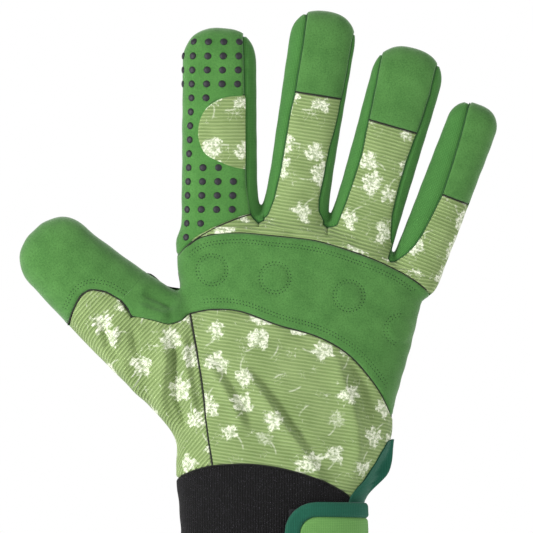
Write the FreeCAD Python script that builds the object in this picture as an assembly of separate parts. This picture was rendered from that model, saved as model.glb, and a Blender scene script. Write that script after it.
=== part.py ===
"""A right-hand gardening glove, sewn from separate fabric panels and filled out as if it were worn.

Frame: the origin is the centre of the hand opening at the cuff's hem. +Z runs up the hand to the
fingertips, +X points to the little finger's side, and -Y points out of the back of the hand.
Sizes are in millimetres. Each panel is a thin closed solid that follows the glove's outer form.
"""

import FreeCAD
import Part
import math
import os
from collections import namedtuple

V = FreeCAD.Vector

# ---- driving sizes -------------------------------------------------------------------------
CLOTH = 1.2  # thickness of every sewn panel
ROUNDNESS = 2.4  # exponent of the rounded cross-sections: 2 is an ellipse
JOINT_GAP = 0.4  # clearance between the panels on the two sides of a bending line
BEND_ROOM = 3.0  # degrees of spare room past the end of each bend
BASE_BEND = 60.0  # how far a finger bends at its base, in degrees
MIDDLE_BEND = 75.0  # how far a finger bends at its middle knuckle, in degrees
THUMB_BASE_BEND = 45.0
THUMB_TIP_BEND = 60.0

Finger = namedtuple(
    "Finger",
    "x z tilt length base_half tip_half half_depth root blend bend cap base_bend tip_bend",
)
# x and z place the base knuckle, and tilt leans the finger towards the little finger. base_half
# and tip_half are half its width at each end. root is how far its form runs back into the hand,
# blend how widely it runs into it, bend the place of its middle knuckle and cap the seam of its
# fingertip cap, the last two measured along the finger from its base.
FINGERS = {
    "index": Finger(-21, 157, 0, 83, 15.8, 15.3, 8.8, 14, 4, 38, None, BASE_BEND, MIDDLE_BEND),
    "middle": Finger(9.6, 157, 9, 91.5, 12.8, 13.9, 8.8, 14, 4, 40, 55, BASE_BEND, MIDDLE_BEND),
    "ring": Finger(37.2, 150, 15.9, 85, 13.4, 15.0, 8.8, 14, 4, 37, 52, BASE_BEND, MIDDLE_BEND),
    "little": Finger(61, 140, 21, 73, 11.6, 10.8, 8.2, 2, 4, 28, 36, BASE_BEND, MIDDLE_BEND),
    "thumb": Finger(
        -60.3, 116.8, -46, 54.5, 18.8, 16.6, 11, 40, 4, 22, None, THUMB_BASE_BEND, THUMB_TIP_BEND
    ),
}
# The web of cloth between the thumb and the hand is one more short bar in the glove's form.
WEB = Finger(-59, 123.4, -54.6, 32, 14, 13, 9, 14, 6, None, None, None, None)

# The hand from the hem up: height, thumb-side edge, little-finger-side edge, half depth.
HAND_SECTIONS = (
    (0, -37.5, 38.0, 19.0),
    (30, -37.5, 37.5, 19.0),
    (42, -38.5, 39.0, 18.8),
    (52, -39.5, 44.0, 18.6),
    (64, -39.0, 49.5, 18.3),
    (80, -38.5, 51.5, 18.0),
    (100, -38.0, 57.0, 17.0),
    (113, -37.0, 60.5, 16.0),
    (127, -34.0, 63.5, 15.0),
    (150, -36.0, 70.0, 12.5),
)
HAND_TOP = ((-40, 157), (-5, 158), (12, 157), (24, 154.5), (38, 149.5), (52, 143), (66, 138))
HAND_TOP_ROUND = 10.0  # how softly the hand closes above the knuckles

# ---- seam lines, as points (x, z) seen from the back of the hand ----------------------------
BAR_LOWER = (
    (-37.5, 117), (-33.6, 120.4), (-24, 122), (-12, 121), (3, 115.5),
    (20, 110.5), (33, 103), (43, 92), (48.8, 82.5), (51.5, 77),
)
BAR_UPPER = (
    (-38.5, 145), (-33.5, 150), (-26, 153.2), (-13, 154.4), (2, 153),
    (19, 151), (36, 146), (52, 139.5), (61.5, 133.5), (66, 130),
)
KNUCKLE_LINE = (
    (-38.5, 156.5), (-33.5, 156.5), (-26, 156.5), (-13, 156.5), (2, 156.8),
    (18, 155.0), (35, 149.6), (51, 143.1), (63, 138), (69, 135.2),
)
CUFF_TOP_LEFT = (
    (-40.5, 51), (-38, 52), (-35.5, 53), (-33, 54), (-30, 55), (-27, 55.8), (-24.4, 56.3),
)
CUFF_TOP_RIGHT = (
    (-24.4, 56.3), (-17, 56.8), (-8, 56.9), (3, 55.5), (13, 53), (22, 50), (30, 45.8),
    (34, 43.6), (36, 42.5),
)
BACK_MIDDLE = (
    (-29, 88.35), (-20.5, 89.4), (-10, 89), (3, 85.5), (16.5, 81.8), (27.5, 76.5), (40, 67.5),
    (46.5, 65), (49.5, 63.5),
)
THUMB_LINE = ((-73.5, 103.1), (-67.2, 109.6), (-58.9, 118.2))
THUMB_MIDDLE = (
    (-47, 78.5), (-44, 80), (-41, 81.7), (-38, 83.4), (-35, 85), (-32, 86.7), (-29, 88.35),
)
GUSSET_LOWER = ((-58.9, 118.2), (-50.4, 117.4), (-43, 115.6), (-37.5, 117))
GUSSET_UPPER = ((-47.1, 130.5), (-43.5, 131), (-40, 129.5), (-36.5, 127))
PALM_CUFF_TOP = (
    (-24.4, 56.3), (-14, 56.5), (-4, 57), (6, 57.5), (16, 58), (26, 58.5), (36, 59), (42, 59.5),
    (46, 59.8), (49, 60),
)
PALM_TOP = (
    (-38.5, 146.3), (-33.5, 146.3), (-26, 146.3), (-13, 146.3), (2, 146.8),
    (17, 145.0), (32.5, 139.3), (47.5, 132.8), (58, 128.5), (65.5, 125),
)
PALM_THUMB_MIDDLE = (
    (-47, 78.5), (-44, 80.8), (-41.2, 83.1), (-38.4, 85.4), (-35.6, 87.7), (-32.8, 90),
    (-30.05, 92.3),
)
PALM_THUMB_TOP = (
    (-73.5, 103.1), (-67.9, 103.3), (-61.4, 108.1), (-53.5, 115.9), (-48, 122.9), (-45, 131),
    (-35.7, 128.3),
)

KNUCKLE_PADS = {
    "index": (-24.4, 138.5), "middle": (2, 135.3), "ring": (33, 127.5), "little": (50, 113),
}
PAD_RADIUS = 6.0

STRAP_BOTTOM, STRAP_TOP = 11.0, 41.0
STRAP_TIP, STRAP_ROOT = 6.0, 37.0  # x of the strap's free end and of its sewn end
STRAP_CORNER = 13.0
BINDING_WIDTH = 5.0

Layer = namedtuple("Layer", "low high")  # how far outside the glove's form a layer starts and ends
SKIN = Layer(-CLOTH, 0.0)
PAD_LAYER = Layer(-CLOTH - 2.4, -CLOTH - 0.9)
LOOP_LAYER = Layer(0.5, 1.4)
HOOK_LAYER = Layer(1.7, 2.6)
STRAP_LAYER = Layer(2.9, 4.5)
BINDING_LAYER = Layer(2.75, 4.9)
EDGE_LAYER = Layer(0.8, 1.8)
INSET_LAYER = Layer(0.3, 1.3)


# ---- the glove's outer form ------------------------------------------------------------------
def between(table, at):
    """The row of numbers at a place in a table whose first column is that place."""
    if at <= table[0][0]:
        return table[0][1:]
    for low, high in zip(table, table[1:]):
        if at <= high[0]:
            share = (at - low[0]) / (high[0] - low[0])
            return [a + share * (b - a) for a, b in zip(low[1:], high[1:])]
    return table[-1][1:]


def rounded(*shares):
    """The size of a point in a rounded section: 1 on its surface, less inside, more outside."""
    return sum(abs(s) ** ROUNDNESS for s in shares) ** (1 / ROUNDNESS)


def frame_of(finger):
    """A finger's base point, and its directions along and across."""
    lean = math.radians(finger.tilt)
    along = V(math.sin(lean), 0, math.cos(lean))
    across = V(math.cos(lean), 0, -math.sin(lean))
    return V(finger.x, 0, finger.z), along, across


def straight_length(finger):
    """How much of a finger is straight before the dome of its tip."""
    return finger.length - finger.tip_half


def half_width(finger, s):
    """Half the width of a finger at a place along it."""
    share = min(1.0, max(0.0, s / straight_length(finger)))
    return finger.base_half + share * (finger.tip_half - finger.base_half)


def finger_gap(finger, point):
    """How far a point is outside a finger's form; negative inside."""
    base, along, across = frame_of(finger)
    place = point - base
    s = place.dot(along)
    past_end = max(0.0, s - straight_length(finger)) / finger.tip_half
    before_root = max(0.0, -finger.root - s) / finger.base_half
    share = place.dot(across) / half_width(finger, s)
    size = rounded(share, point.y / finger.half_depth, past_end + before_root)
    return (size - 1) * finger.half_depth


def hand_gap(point):
    """How far a point is outside the form of the hand and wrist, fingers left out."""
    left, right, half_depth = between(HAND_SECTIONS, point.z)
    (top,) = between(HAND_TOP, point.x)
    above = max(0.0, point.z - top + HAND_TOP_ROUND - 2) / HAND_TOP_ROUND
    middle, half_width = (left + right) / 2, (right - left) / 2
    return (rounded((point.x - middle) / half_width, point.y / half_depth, above) - 1) * half_depth


def form_gap(point):
    """How far a point is outside the whole glove, the fingers blended into the hand."""
    gap = hand_gap(point)
    for finger in (WEB, *FINGERS.values()):
        other = finger_gap(finger, point)
        mix = max(0.0, finger.blend - abs(gap - other)) / finger.blend
        gap = min(gap, other) - mix * mix * finger.blend / 4
    return gap


def outward(point):
    """The direction straight out of the glove's form at a point."""
    step = 0.05
    slope = [
        form_gap(point + V(*d)) - form_gap(point - V(*d))
        for d in ((step, 0, 0), (0, step, 0), (0, 0, step))
    ]
    direction = V(*slope)
    return direction.normalize()


def snapped_to_edge(x, z):
    """The nearest point of the glove's outline to a point at or past it, at mid thickness."""
    point = V(x, 0, z)
    for _ in range(12):
        out = outward(point)
        out.y = 0
        gap = form_gap(point)
        slope = (form_gap(point + out * 0.1) - gap) / 0.1
        point = point - out * (gap / max(slope, 0.2))
    return point


def on_form(x, z, side):
    """The point of the glove's surface over (x, z): side is -1 for the back and 1 for the palm."""
    if form_gap(V(x, 0, z)) > -0.3:
        return snapped_to_edge(x, z)
    inside, outside = 0.0, 40.0
    for _ in range(26):
        depth = (inside + outside) / 2
        if form_gap(V(x, side * depth, z)) < 0:
            inside = depth
        else:
            outside = depth
    return V(x, side * inside, z)


# ---- thin solids -----------------------------------------------------------------------------
def order(point):
    return (round(point.x, 5), round(point.y, 5), round(point.z, 5))


def triangle(a, b, c):
    """A flat face, or nothing where its corners fall together or in a line."""
    if (b - a).cross(c - a).Length < 1e-5:
        return []
    return [Part.Face(Part.makePolygon([a, b, c, a]))]


def patch(a, b, c, d):
    """Two flat faces on four corners. Neighbouring panels split a shared patch the same way."""
    if min(order(a), order(c)) < min(order(b), order(d)):
        return triangle(a, b, c) + triangle(a, c, d)
    return triangle(a, b, d) + triangle(b, c, d)


def thin_solid(outer, inner):
    """The closed solid between two grids of points, one outside the cloth and one inside it."""
    faces = []
    rows, columns = len(outer), len(outer[0])
    for grid in (outer, inner):
        for i in range(rows - 1):
            for j in range(columns - 1):
                faces += patch(grid[i][j], grid[i + 1][j], grid[i + 1][j + 1], grid[i][j + 1])
    for i in (0, rows - 1):
        for j in range(columns - 1):
            faces += patch(outer[i][j], outer[i][j + 1], inner[i][j + 1], inner[i][j])
    for j in (0, columns - 1):
        for i in range(rows - 1):
            faces += patch(outer[i][j], outer[i + 1][j], inner[i + 1][j], inner[i][j])
    shell = Part.Shell(faces)
    shell.sewShape()
    solid = Part.Solid(Part.Shell(shell.Faces))
    if solid.Volume < 0:
        solid.reverse()
    return solid


def rows_between(lower, upper, count):
    """Rows of points from one line across a panel up to the next, the last row left out."""
    return [
        [
            (a[0] + (b[0] - a[0]) * i / count, a[1] + (b[1] - a[1]) * i / count)
            for a, b in zip(lower, upper)
        ]
        for i in range(count)
    ]


def panel(rows, side, layer=SKIN):
    """A panel of the hand from rows of (x, z) points, on the back (-1) or the palm (1)."""
    skin = [[on_form(x, z, side) for x, z in row] for row in rows]
    out = [[outward(p) for p in row] for row in skin]
    if layer is not SKIN:
        for row in out:
            for direction in row:
                direction.y = direction.y or side * 1e-9
    grids = [
        [[p + n * height for p, n in zip(*pair)] for pair in zip(skin, out)]
        for height in (layer.high, layer.low)
    ]
    return thin_solid(*grids)


def panel_between(lines, count, side, layer=SKIN):
    """A panel through two or more lines, with count rows of patches between each two of them."""
    rows = [row for low, high in zip(lines, lines[1:]) for row in rows_between(low, high, count)]
    return panel(rows + [list(lines[-1])], side, layer)


def finger_point(finger, s, angle, height):
    """A point of a finger's wall. angle turns from the little-finger side (0) over the palm (90)."""
    base, along, across = frame_of(finger)
    past_end = round(min(1.0, max(0.0, s - straight_length(finger)) / finger.tip_half), 6)
    shrink = max(0.0, 1 - past_end**ROUNDNESS) ** (1 / ROUNDNESS)
    c, t = math.cos(math.radians(angle)), math.sin(math.radians(angle))
    u = (half_width(finger, s) + height) * math.copysign(abs(c) ** (2 / ROUNDNESS), c) * shrink
    y = (finger.half_depth + height) * math.copysign(abs(t) ** (2 / ROUNDNESS), t) * shrink
    reach = s + height * past_end
    return base + along * reach + across * u + V(0, y, 0)


def finger_wall(finger, start, end, first_angle, last_angle, layer=SKIN, steps=4):
    """One wall of a finger. start and end are functions from depth y to a place along the finger."""
    angles = [first_angle + (last_angle - first_angle) * k / steps for k in range(steps + 1)]
    dome = straight_length(finger)
    grids = []
    for height in (layer.high, layer.low):
        grid = []
        for share in wall_rows(end(0) > dome):
            row = []
            for angle in angles:
                y = finger_point(finger, 0, angle, height).y
                low, high = start(y), end(y)
                straight = min(high, dome)
                if share <= 1:
                    s = low + (straight - low) * share
                else:
                    s = dome + (finger.length - dome) * math.sin((share - 1) * math.pi / 2)
                row.append(finger_point(finger, s, angle, height))
            grid.append(row)
        grids.append(grid)
    return thin_solid(*grids)


def wall_rows(with_dome):
    """Shares along a wall: 0 to 1 on its straight part, and 1 to 2 over the fingertip's dome."""
    return (0, 1, 1.25, 1.5, 1.75, 2) if with_dome else (0, 1)


def notch(place, bend, gap_side):
    """The edge of a wall at a bending line: it slants away on the palm side to leave room."""
    slope = math.tan(math.radians(bend / 2 + BEND_ROOM))
    return lambda y: place + gap_side * (JOINT_GAP + max(0.0, y) * slope)


def straight_edge(place):
    return lambda y: place


# ---- the pieces ------------------------------------------------------------------------------
BACK_ARC, PALM_ARC = (-135, -45), (45, 135)
ULNAR_ARC, RADIAL_ARC = (-45, 45), (135, 225)


def level_line(left, right, z, count):
    """Points along a level line, closer together at its ends, where the cloth curves most."""
    middle, half = (left + right) / 2, (right - left) / 2
    shares = [i / (count - 1) for i in range(count)]
    places = [(2 * share - 1 - math.cos(math.pi * share)) / 2 for share in shares]
    return tuple((middle + half * place, z) for place in places)


def hand_pieces():
    """The panels of the hand and wrist, and what is sewn to them."""
    cuff_top = CUFF_TOP_LEFT + CUFF_TOP_RIGHT[1:]
    back_hem = level_line(-37.5, 33.5, 0, len(cuff_top))
    palm_top = CUFF_TOP_LEFT + PALM_CUFF_TOP[1:]
    palm_hem = level_line(-37.5, 38, 0, len(palm_top))
    palm_middle = level_line(-38.2, 38.6, 38, len(palm_top))
    hem_band = tuple((x, BINDING_WIDTH + 1) for x, _ in back_hem)
    palm_hem_band = tuple((x, BINDING_WIDTH + 1) for x, _ in palm_hem)
    thumb_top = THUMB_LINE + GUSSET_LOWER[1:] + (BAR_LOWER[1],)
    slit_low = ((34.5, 7), (35.7, 7), (36.6, 7), (37.3, 7))
    slit_middle = ((35.5, 42), (36.7, 42), (37.6, 42), (38.3, 42))
    slit_high = ((44.5, 62), (46, 62), (47.2, 62), (48, 62))
    loop_low, loop_high = [tuple((x, z) for x in range(-8, 21, 4)) for z in (14, 38)]
    pieces = {
        "knuckle_bar": [panel_between((BAR_LOWER, BAR_UPPER), 4, -1)],
        "upper_back_panel": [panel_between((BAR_UPPER, KNUCKLE_LINE), 1, -1)],
        "lower_back_panel": [panel_between((CUFF_TOP_RIGHT, BACK_MIDDLE, BAR_LOWER[1:]), 2, -1)],
        "thumb_back_panel": [panel_between((CUFF_TOP_LEFT, THUMB_MIDDLE, thumb_top), 2, -1)],
        "thumb_web_gusset": [panel_between((GUSSET_LOWER, GUSSET_UPPER), 2, -1)],
        "wrist_elastic": [panel_between((back_hem, cuff_top), 4, -1)],
        "palm_panel": [panel_between((PALM_CUFF_TOP, PALM_TOP), 5, 1)],
        "palm_thumb_panel": [
            panel_between((CUFF_TOP_LEFT, PALM_THUMB_MIDDLE, PALM_THUMB_TOP), 2, 1)
        ],
        "palm_cuff": [panel_between((palm_hem, palm_middle, palm_top), 2, 1)],
        "hem_binding": [
            panel_between((back_hem, hem_band), 1, -1, EDGE_LAYER),
            panel_between((palm_hem, palm_hem_band), 1, 1, EDGE_LAYER),
        ],
        "slit_binding": [panel_between((slit_low, slit_middle, slit_high), 3, 1, EDGE_LAYER)],
        "loop_patch": [panel_between((loop_low, loop_high), 2, -1, LOOP_LAYER)],
    }
    for name, (x, z) in KNUCKLE_PADS.items():
        turns = [math.radians(30 * k) for k in range(7)]
        half = [(PAD_RADIUS * math.cos(a), PAD_RADIUS * math.sin(a)) for a in turns]
        rim = [tuple((x + u, z + flip * v) for u, v in half) for flip in (-1, 1)]
        pieces[name + "_knuckle_pad"] = [panel_between(rim, 2, -1, PAD_LAYER)]
    return pieces


def strap_outline(inset):
    """Points round the strap from its lower root to its upper root, moved in by inset."""
    bottom, top, tip = STRAP_BOTTOM + inset, STRAP_TOP - inset, STRAP_TIP + inset
    corner = STRAP_CORNER - inset
    turns = [math.radians(270 - 30 * k) for k in range(4)]
    low = [(tip + corner + corner * math.cos(a), bottom + corner + corner * math.sin(a)) for a in turns]
    high = [(x, bottom + top - z) for x, z in reversed(low)]
    run = [STRAP_ROOT, STRAP_ROOT - 1, STRAP_ROOT - 3, STRAP_ROOT - 7, STRAP_ROOT - 12]
    start, back = [(x, bottom) for x in run], [(x, top) for x in reversed(run)]
    return start + low + high + back


def strap_pieces():
    """The wrist strap that closes over the back of the cuff."""
    rim, core = strap_outline(0), strap_outline(BINDING_WIDTH)
    half = len(core) // 2
    return {
        "wrist_strap": [panel_between((core[:half], core[: half - 1 : -1]), 3, -1, STRAP_LAYER)],
        "strap_binding": [panel_between((rim, core), 1, -1, BINDING_LAYER)],
        "hook_patch": [
            panel_between((((12, 17), (19, 17)), ((12, 35), (19, 35))), 2, -1, HOOK_LAYER)
        ],
    }


def finger_pieces(name, finger):
    """The walls of one finger, below and above its middle knuckle."""
    base = notch(0, finger.base_bend, 1)
    below, above = notch(finger.bend, finger.tip_bend, -1), notch(finger.bend, finger.tip_bend, 1)
    tip = straight_edge(finger.length)
    wall = finger_wall
    side = {"radial": "radial_fourchette", "ulnar": "ulnar_fourchette"}
    if name in ("index", "thumb"):
        side["radial"] = "radial_wrap"
    if name == "little":
        side["ulnar"] = "ulnar_wrap"
    pieces = {
        f"{name}_back_lower": [wall(finger, base, below, *BACK_ARC)],
        f"{name}_palm_lower": [wall(finger, base, below, *PALM_ARC)],
        f"{name}_{side['radial']}_lower": [wall(finger, base, below, *RADIAL_ARC)],
        f"{name}_{side['ulnar']}_lower": [wall(finger, base, below, *ULNAR_ARC)],
        f"{name}_palm_upper": [wall(finger, above, tip, *PALM_ARC)],
        f"{name}_sides_upper": [
            wall(finger, above, tip, *RADIAL_ARC),
            wall(finger, above, tip, *ULNAR_ARC),
        ],
    }
    if finger.cap:
        seam = straight_edge(finger.cap)
        pieces[f"{name}_back_upper"] = [wall(finger, above, seam, *BACK_ARC)]
        pieces[f"{name}_tip_cap"] = [wall(finger, seam, tip, *BACK_ARC)]
    elif name == "thumb":
        pieces["thumb_tip_cap"] = [wall(finger, above, tip, *BACK_ARC)]
    else:
        pieces[f"{name}_back_upper"] = [wall(finger, above, tip, *BACK_ARC)]
    return pieces


def index_inset():
    """The half-moon of print fabric over the index finger's middle knuckle."""
    finger = FINGERS["index"]
    stretches = {"lower": (-14, -JOINT_GAP), "upper": (JOINT_GAP, 17)}
    pieces = {}
    for name, (low, high) in stretches.items():
        start, end = straight_edge(finger.bend + low), straight_edge(finger.bend + high)
        wall = finger_wall(finger, start, end, -95, -52, INSET_LAYER, 2)
        pieces[f"index_flex_inset_{name}"] = [wall]
    return pieces


def main():
    os.makedirs("parts", exist_ok=True)
    pieces = {**hand_pieces(), **strap_pieces(), **index_inset()}
    for name, finger in FINGERS.items():
        pieces.update(finger_pieces(name, finger))
    for name, solids in sorted(pieces.items()):
        shape = solids[0] if len(solids) == 1 else Part.makeCompound(solids)
        shape.exportStep(f"parts/{name}.step")
        state = "ok" if all(s.isValid() and s.isClosed() for s in solids) else "BAD"
        print(f"{name:32s} {state} {sum(s.Volume for s in solids):9.1f} mm3")
    print(len(pieces), "nodes")


main()
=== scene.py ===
# %% [markdown]
# # A gardening glove, sewn in Blender
#
# The glove is a cut-and-sewn shell: suede, ribbed print fabric and elastic panels, joined by
# seams and shaped by the hand inside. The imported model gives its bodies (hand, finger parts and
# strap), and this lesson builds the cloth around them, panel by panel. It could be sculpted as
# one mesh, but a real glove is separate panels, so each one is made as its own closed piece.

# %% Load the frame
import math
from collections import namedtuple

import bmesh
import bpy
import numpy as np
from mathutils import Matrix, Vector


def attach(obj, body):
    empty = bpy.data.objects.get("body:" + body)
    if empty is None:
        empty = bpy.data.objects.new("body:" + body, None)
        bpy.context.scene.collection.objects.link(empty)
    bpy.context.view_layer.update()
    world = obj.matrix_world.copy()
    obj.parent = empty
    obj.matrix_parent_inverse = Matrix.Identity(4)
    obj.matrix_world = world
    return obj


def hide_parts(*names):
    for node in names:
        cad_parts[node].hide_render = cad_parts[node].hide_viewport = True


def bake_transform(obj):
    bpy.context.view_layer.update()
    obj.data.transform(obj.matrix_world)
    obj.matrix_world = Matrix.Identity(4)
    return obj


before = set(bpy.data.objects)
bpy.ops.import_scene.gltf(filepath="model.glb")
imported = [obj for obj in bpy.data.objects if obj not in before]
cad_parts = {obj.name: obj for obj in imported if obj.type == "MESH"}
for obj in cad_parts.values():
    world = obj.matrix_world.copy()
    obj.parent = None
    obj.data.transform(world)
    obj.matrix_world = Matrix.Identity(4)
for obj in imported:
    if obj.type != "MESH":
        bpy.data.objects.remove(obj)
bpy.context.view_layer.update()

# %% [markdown]
# The camera looks straight at the back of the hand, which faces -Y. The lens is orthographic,
# as for a flat product view. The key light stands low on the left, so that the folds, which run
# downwards, each get a lit and a shaded flank. A weak fill and a back light soften the rest.

# %% Camera, lights and stage
VIEW_WIDTH = 0.224
VIEW_CENTRE_X, VIEW_CENTRE_Z, CAMERA_DISTANCE = -0.0015, 0.140, 0.9
WHITE = (1, 1, 1, 1)

scene = bpy.context.scene
scene.view_settings.view_transform = "Standard"
camera_data = bpy.data.cameras.new("camera")
camera_data.type = "ORTHO"
camera_data.ortho_scale = VIEW_WIDTH
camera = bpy.data.objects.new("camera", camera_data)
camera.location = (VIEW_CENTRE_X, -CAMERA_DISTANCE, VIEW_CENTRE_Z)
camera.rotation_euler = (math.pi / 2, 0, 0)
scene.collection.objects.link(camera)
scene.camera = camera


LIGHTS_AIM = (0, 0, 0.13)


def area_light(name, place, size, power):
    data = bpy.data.lights.new(name, "AREA")
    data.shape, data.size, data.energy = "DISK", size, power
    light = bpy.data.objects.new(name, data)
    light.location = place
    direction = Vector(LIGHTS_AIM) - Vector(place)
    light.rotation_euler = direction.to_track_quat("-Z", "Y").to_euler()
    scene.collection.objects.link(light)


area_light("key_light", (-0.86, -0.62, 0.24), 0.28, 9.0)
area_light("fill_light", (0.7, -0.6, 0.35), 0.6, 1.3)
area_light("back_light", (0.2, 0.8, 0.7), 0.6, 4.5)
world = bpy.data.worlds.new("studio")
world.use_nodes = True
sky = world.node_tree.nodes["Background"]
sky.inputs["Color"].default_value = WHITE
sky.inputs["Strength"].default_value = 0.6
scene.world = world
print("camera and", len(bpy.data.lights), "lights made")

# %% [markdown]
# Materials are node trees. Writing them node by node is long, so two small helpers do it:
# `Value` wraps a socket and turns Python sums into Math nodes, and `Finish.node` makes any
# other node. Colours are picked as screen values and converted to linear light.


# %% Shader helpers
class Value:
    """A number that varies over a surface. Sums on it add Math nodes."""

    def __init__(self, finish, socket):
        self.finish, self.socket = finish, socket

    def math(self, operation, *others):
        values = {i: v for i, v in enumerate((self, *others))}
        return self.finish.node("ShaderNodeMath", {"operation": operation}, values)

    def __add__(self, other):
        return self.math("ADD", other)

    def __mul__(self, other):
        return self.math("MULTIPLY", other)

    def __sub__(self, other):
        return self.math("SUBTRACT", other)

    def __rsub__(self, other):
        return (self * -1) + other

    def __truediv__(self, other):
        return self.math("DIVIDE", other)

    __radd__, __rmul__ = __add__, __mul__

    def parts(self, kind="ShaderNodeSeparateXYZ"):
        """The separate numbers of a vector or a colour."""
        apart = self.finish.tree.nodes.new(kind)
        self.finish.plug(apart.inputs[0], self)
        return [Value(self.finish, socket) for socket in apart.outputs]

    def step(self, low, high):
        """0 below low, 1 above high, and a smooth climb between them."""
        return self.finish.node(
            "ShaderNodeMapRange", {"interpolation_type": "SMOOTHSTEP"},
            {"Value": self, "From Min": low, "From Max": high}, "Result")


class Finish:
    """A material and the nodes in it."""

    def __init__(self, name):
        self.material = bpy.data.materials.new(name)
        self.material.use_nodes = True
        self.tree = self.material.node_tree
        self.shader = self.tree.nodes["Principled BSDF"]

    def node(self, kind, settings=None, values=None, output=0):
        made = self.tree.nodes.new(kind)
        for key, value in (settings or {}).items():
            setattr(made, key, value)
        for key, value in (values or {}).items():
            self.plug(made.inputs[key], value)
        return Value(self, made.outputs[output])

    def plug(self, socket, value):
        if isinstance(value, Value):
            self.tree.links.new(value.socket, socket)
        else:
            socket.default_value = value

    def mix(self, share, first, second):
        return self.node("ShaderNodeMix", {"data_type": "RGBA"},
                         {0: share, 6: first, 7: second}, 2)

    def noise(self, place, scale, detail=2.0, roughness=0.5):
        return self.node("ShaderNodeTexNoise", {},
                         {"Vector": place, "Scale": scale, "Detail": detail,
                          "Roughness": roughness}, "Fac")

    def stretched(self, place, across, along):
        return self.node("ShaderNodeMapping", {},
                         {"Vector": place, "Scale": (across, along, 1)})

    def surface(self, color, roughness, height=None, depth=0.001, strength=1.0, **fixed):
        self.plug(self.shader.inputs["Base Color"], color)
        self.plug(self.shader.inputs["Roughness"], roughness)
        if height is not None:
            bump = self.node("ShaderNodeBump", {},
                             {"Height": height, "Distance": depth, "Strength": strength})
            self.plug(self.shader.inputs["Normal"], bump)
        for key, value in fixed.items():
            self.shader.inputs[key.replace("_", " ")].default_value = value
        return self.material


def screen(red, green, blue):
    """A linear colour from its 0-255 screen values."""
    def linear(v):
        v /= 255
        return v / 12.92 if v <= 0.04045 else ((v + 0.055) / 1.055) ** 2.4
    return (linear(red), linear(green), linear(blue), 1)


def cloth_place(finish):
    """Place on the cloth in millimetres, from the panel's own UV map."""
    return finish.node("ShaderNodeUVMap", {"uv_map": "cloth"})


print("shader helpers ready, mid grey is", round(screen(128, 128, 128)[0], 3))


# %% [markdown]
# The floor is plain and pale and only catches soft shade, so one nearly white finish with a
# faint unevenness is enough. The wall far behind is lit evenly, as a studio background is.

# %% Floor and wall
pale = Finish("pale_stage")
pale_place = pale.node("ShaderNodeTexCoord", output="Object")
pale_cloud = pale.noise(pale_place, 3.0)
pale.surface(pale.mix(pale_cloud, screen(250, 250, 250), screen(255, 255, 255)), 0.9)


def stage_plane(name, corners, finish=pale):
    mesh = bpy.data.meshes.new(name)
    mesh.from_pydata(corners, [], [(0, 1, 2, 3)])
    mesh.materials.append(finish.material)
    plane = bpy.data.objects.new(name, mesh)
    scene.collection.objects.link(plane)


wall = Finish("lit_wall")
wall.surface((0, 0, 0, 1), 1.0, Emission_Color=WHITE, Emission_Strength=1.0,
             Specular_IOR_Level=0)
FLOOR_HALF, FLOOR_DROP = 3, -0.0002
stage_plane("floor", [(x * FLOOR_HALF, y * FLOOR_HALF, FLOOR_DROP)
                      for x, y in ((-1, -1), (1, -1), (1, 1), (-1, 1))])
stage_plane("lit_backdrop", [(-4, 2.9, -1), (4, 2.9, -1), (4, 2.9, 4), (-4, 2.9, 4)], wall)
print("floor and wall made")

# %% [markdown]
# The suede is a brushed microfibre: an even nap with faint mottling where it has been stroked
# one way or the other. Noise at three sizes gives the mottling, the nap and its fine grain, and
# the same noise lifts the surface a little.


# %% Suede
def suede(name, dark, light, deep):
    finish = Finish(name)
    place = cloth_place(finish)
    cloud = finish.noise(place, 0.11, 3.0, 0.6)
    nap = finish.noise(place, 1.3, 4.0, 0.75)
    grain = finish.noise(place, 4.5, 2.0, 0.6)
    tone = (cloud * 0.55 + nap * 0.75 + grain * 0.3 - 0.32).step(0.1, 0.85)
    base = finish.mix(tone, dark, light)
    pit = (grain * 0.5 + nap * 0.5).step(0.36, 0.48)
    base = finish.mix((1 - pit) * 0.5, base, deep)
    return finish.surface(base, 0.9 - tone * 0.1, nap * 0.7 + grain * 0.3, 0.00035, 0.8,
                          Sheen_Weight=0.25, Sheen_Roughness=0.5, Specular_IOR_Level=0.25)


plain_suede = suede("green_suede", screen(55, 104, 43), screen(84, 137, 66), screen(35, 76, 31))
grip_suede = suede("grip_suede", screen(54, 108, 42), screen(83, 140, 65), screen(35, 80, 31))
print("suede made")

# %% [markdown]
# The print fabric is a fine rib with a printed flower. Ribs are a sine across the cloth, broken
# into knit loops, and the ground and the print are painted darker in the rib valleys as painted
# shade. Each flower sits in its own cell of a Voronoi pattern: the angle and distance from the
# cell's centre make its lobes, its radial strokes and a pale stem. A picture could hold the print
# as well, but a rule keeps it sharp at any distance and never shows a joint.


# %% Ribbed print fabric
RIB_PITCH = 1.45
FLOWER_SPACING = 14.5


def ribbed_ground(finish, place):
    """The rib from 0 to 1, the knit loops in it, and the ground's colour, with painted shade in the
    rib valleys.
    """
    along = place.parts()[1]
    cloud = finish.noise(place, 0.07, 2.0)
    rib = (along * (2 * math.pi / RIB_PITCH) + cloud * 3.2).math("SINE") * 0.5 + 0.5
    loops = finish.noise(finish.stretched(place, 1.5, 5.0), 1.0, 2.0, 0.6)
    fine = finish.noise(finish.stretched(place, 6.0, 2.0), 1.0, 2.0, 0.7)
    # painted shade: the ground is darker in the rib valleys; loops, fine and cloud are the knit's
    # own tone
    shade = rib * 0.36 + loops * 0.35 + fine * 0.35 + cloud * 0.5 - 0.3
    ground = finish.mix(shade.step(0.0, 1.0), screen(100, 124, 66), screen(164, 186, 124))
    return rib, loops, ground


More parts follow.
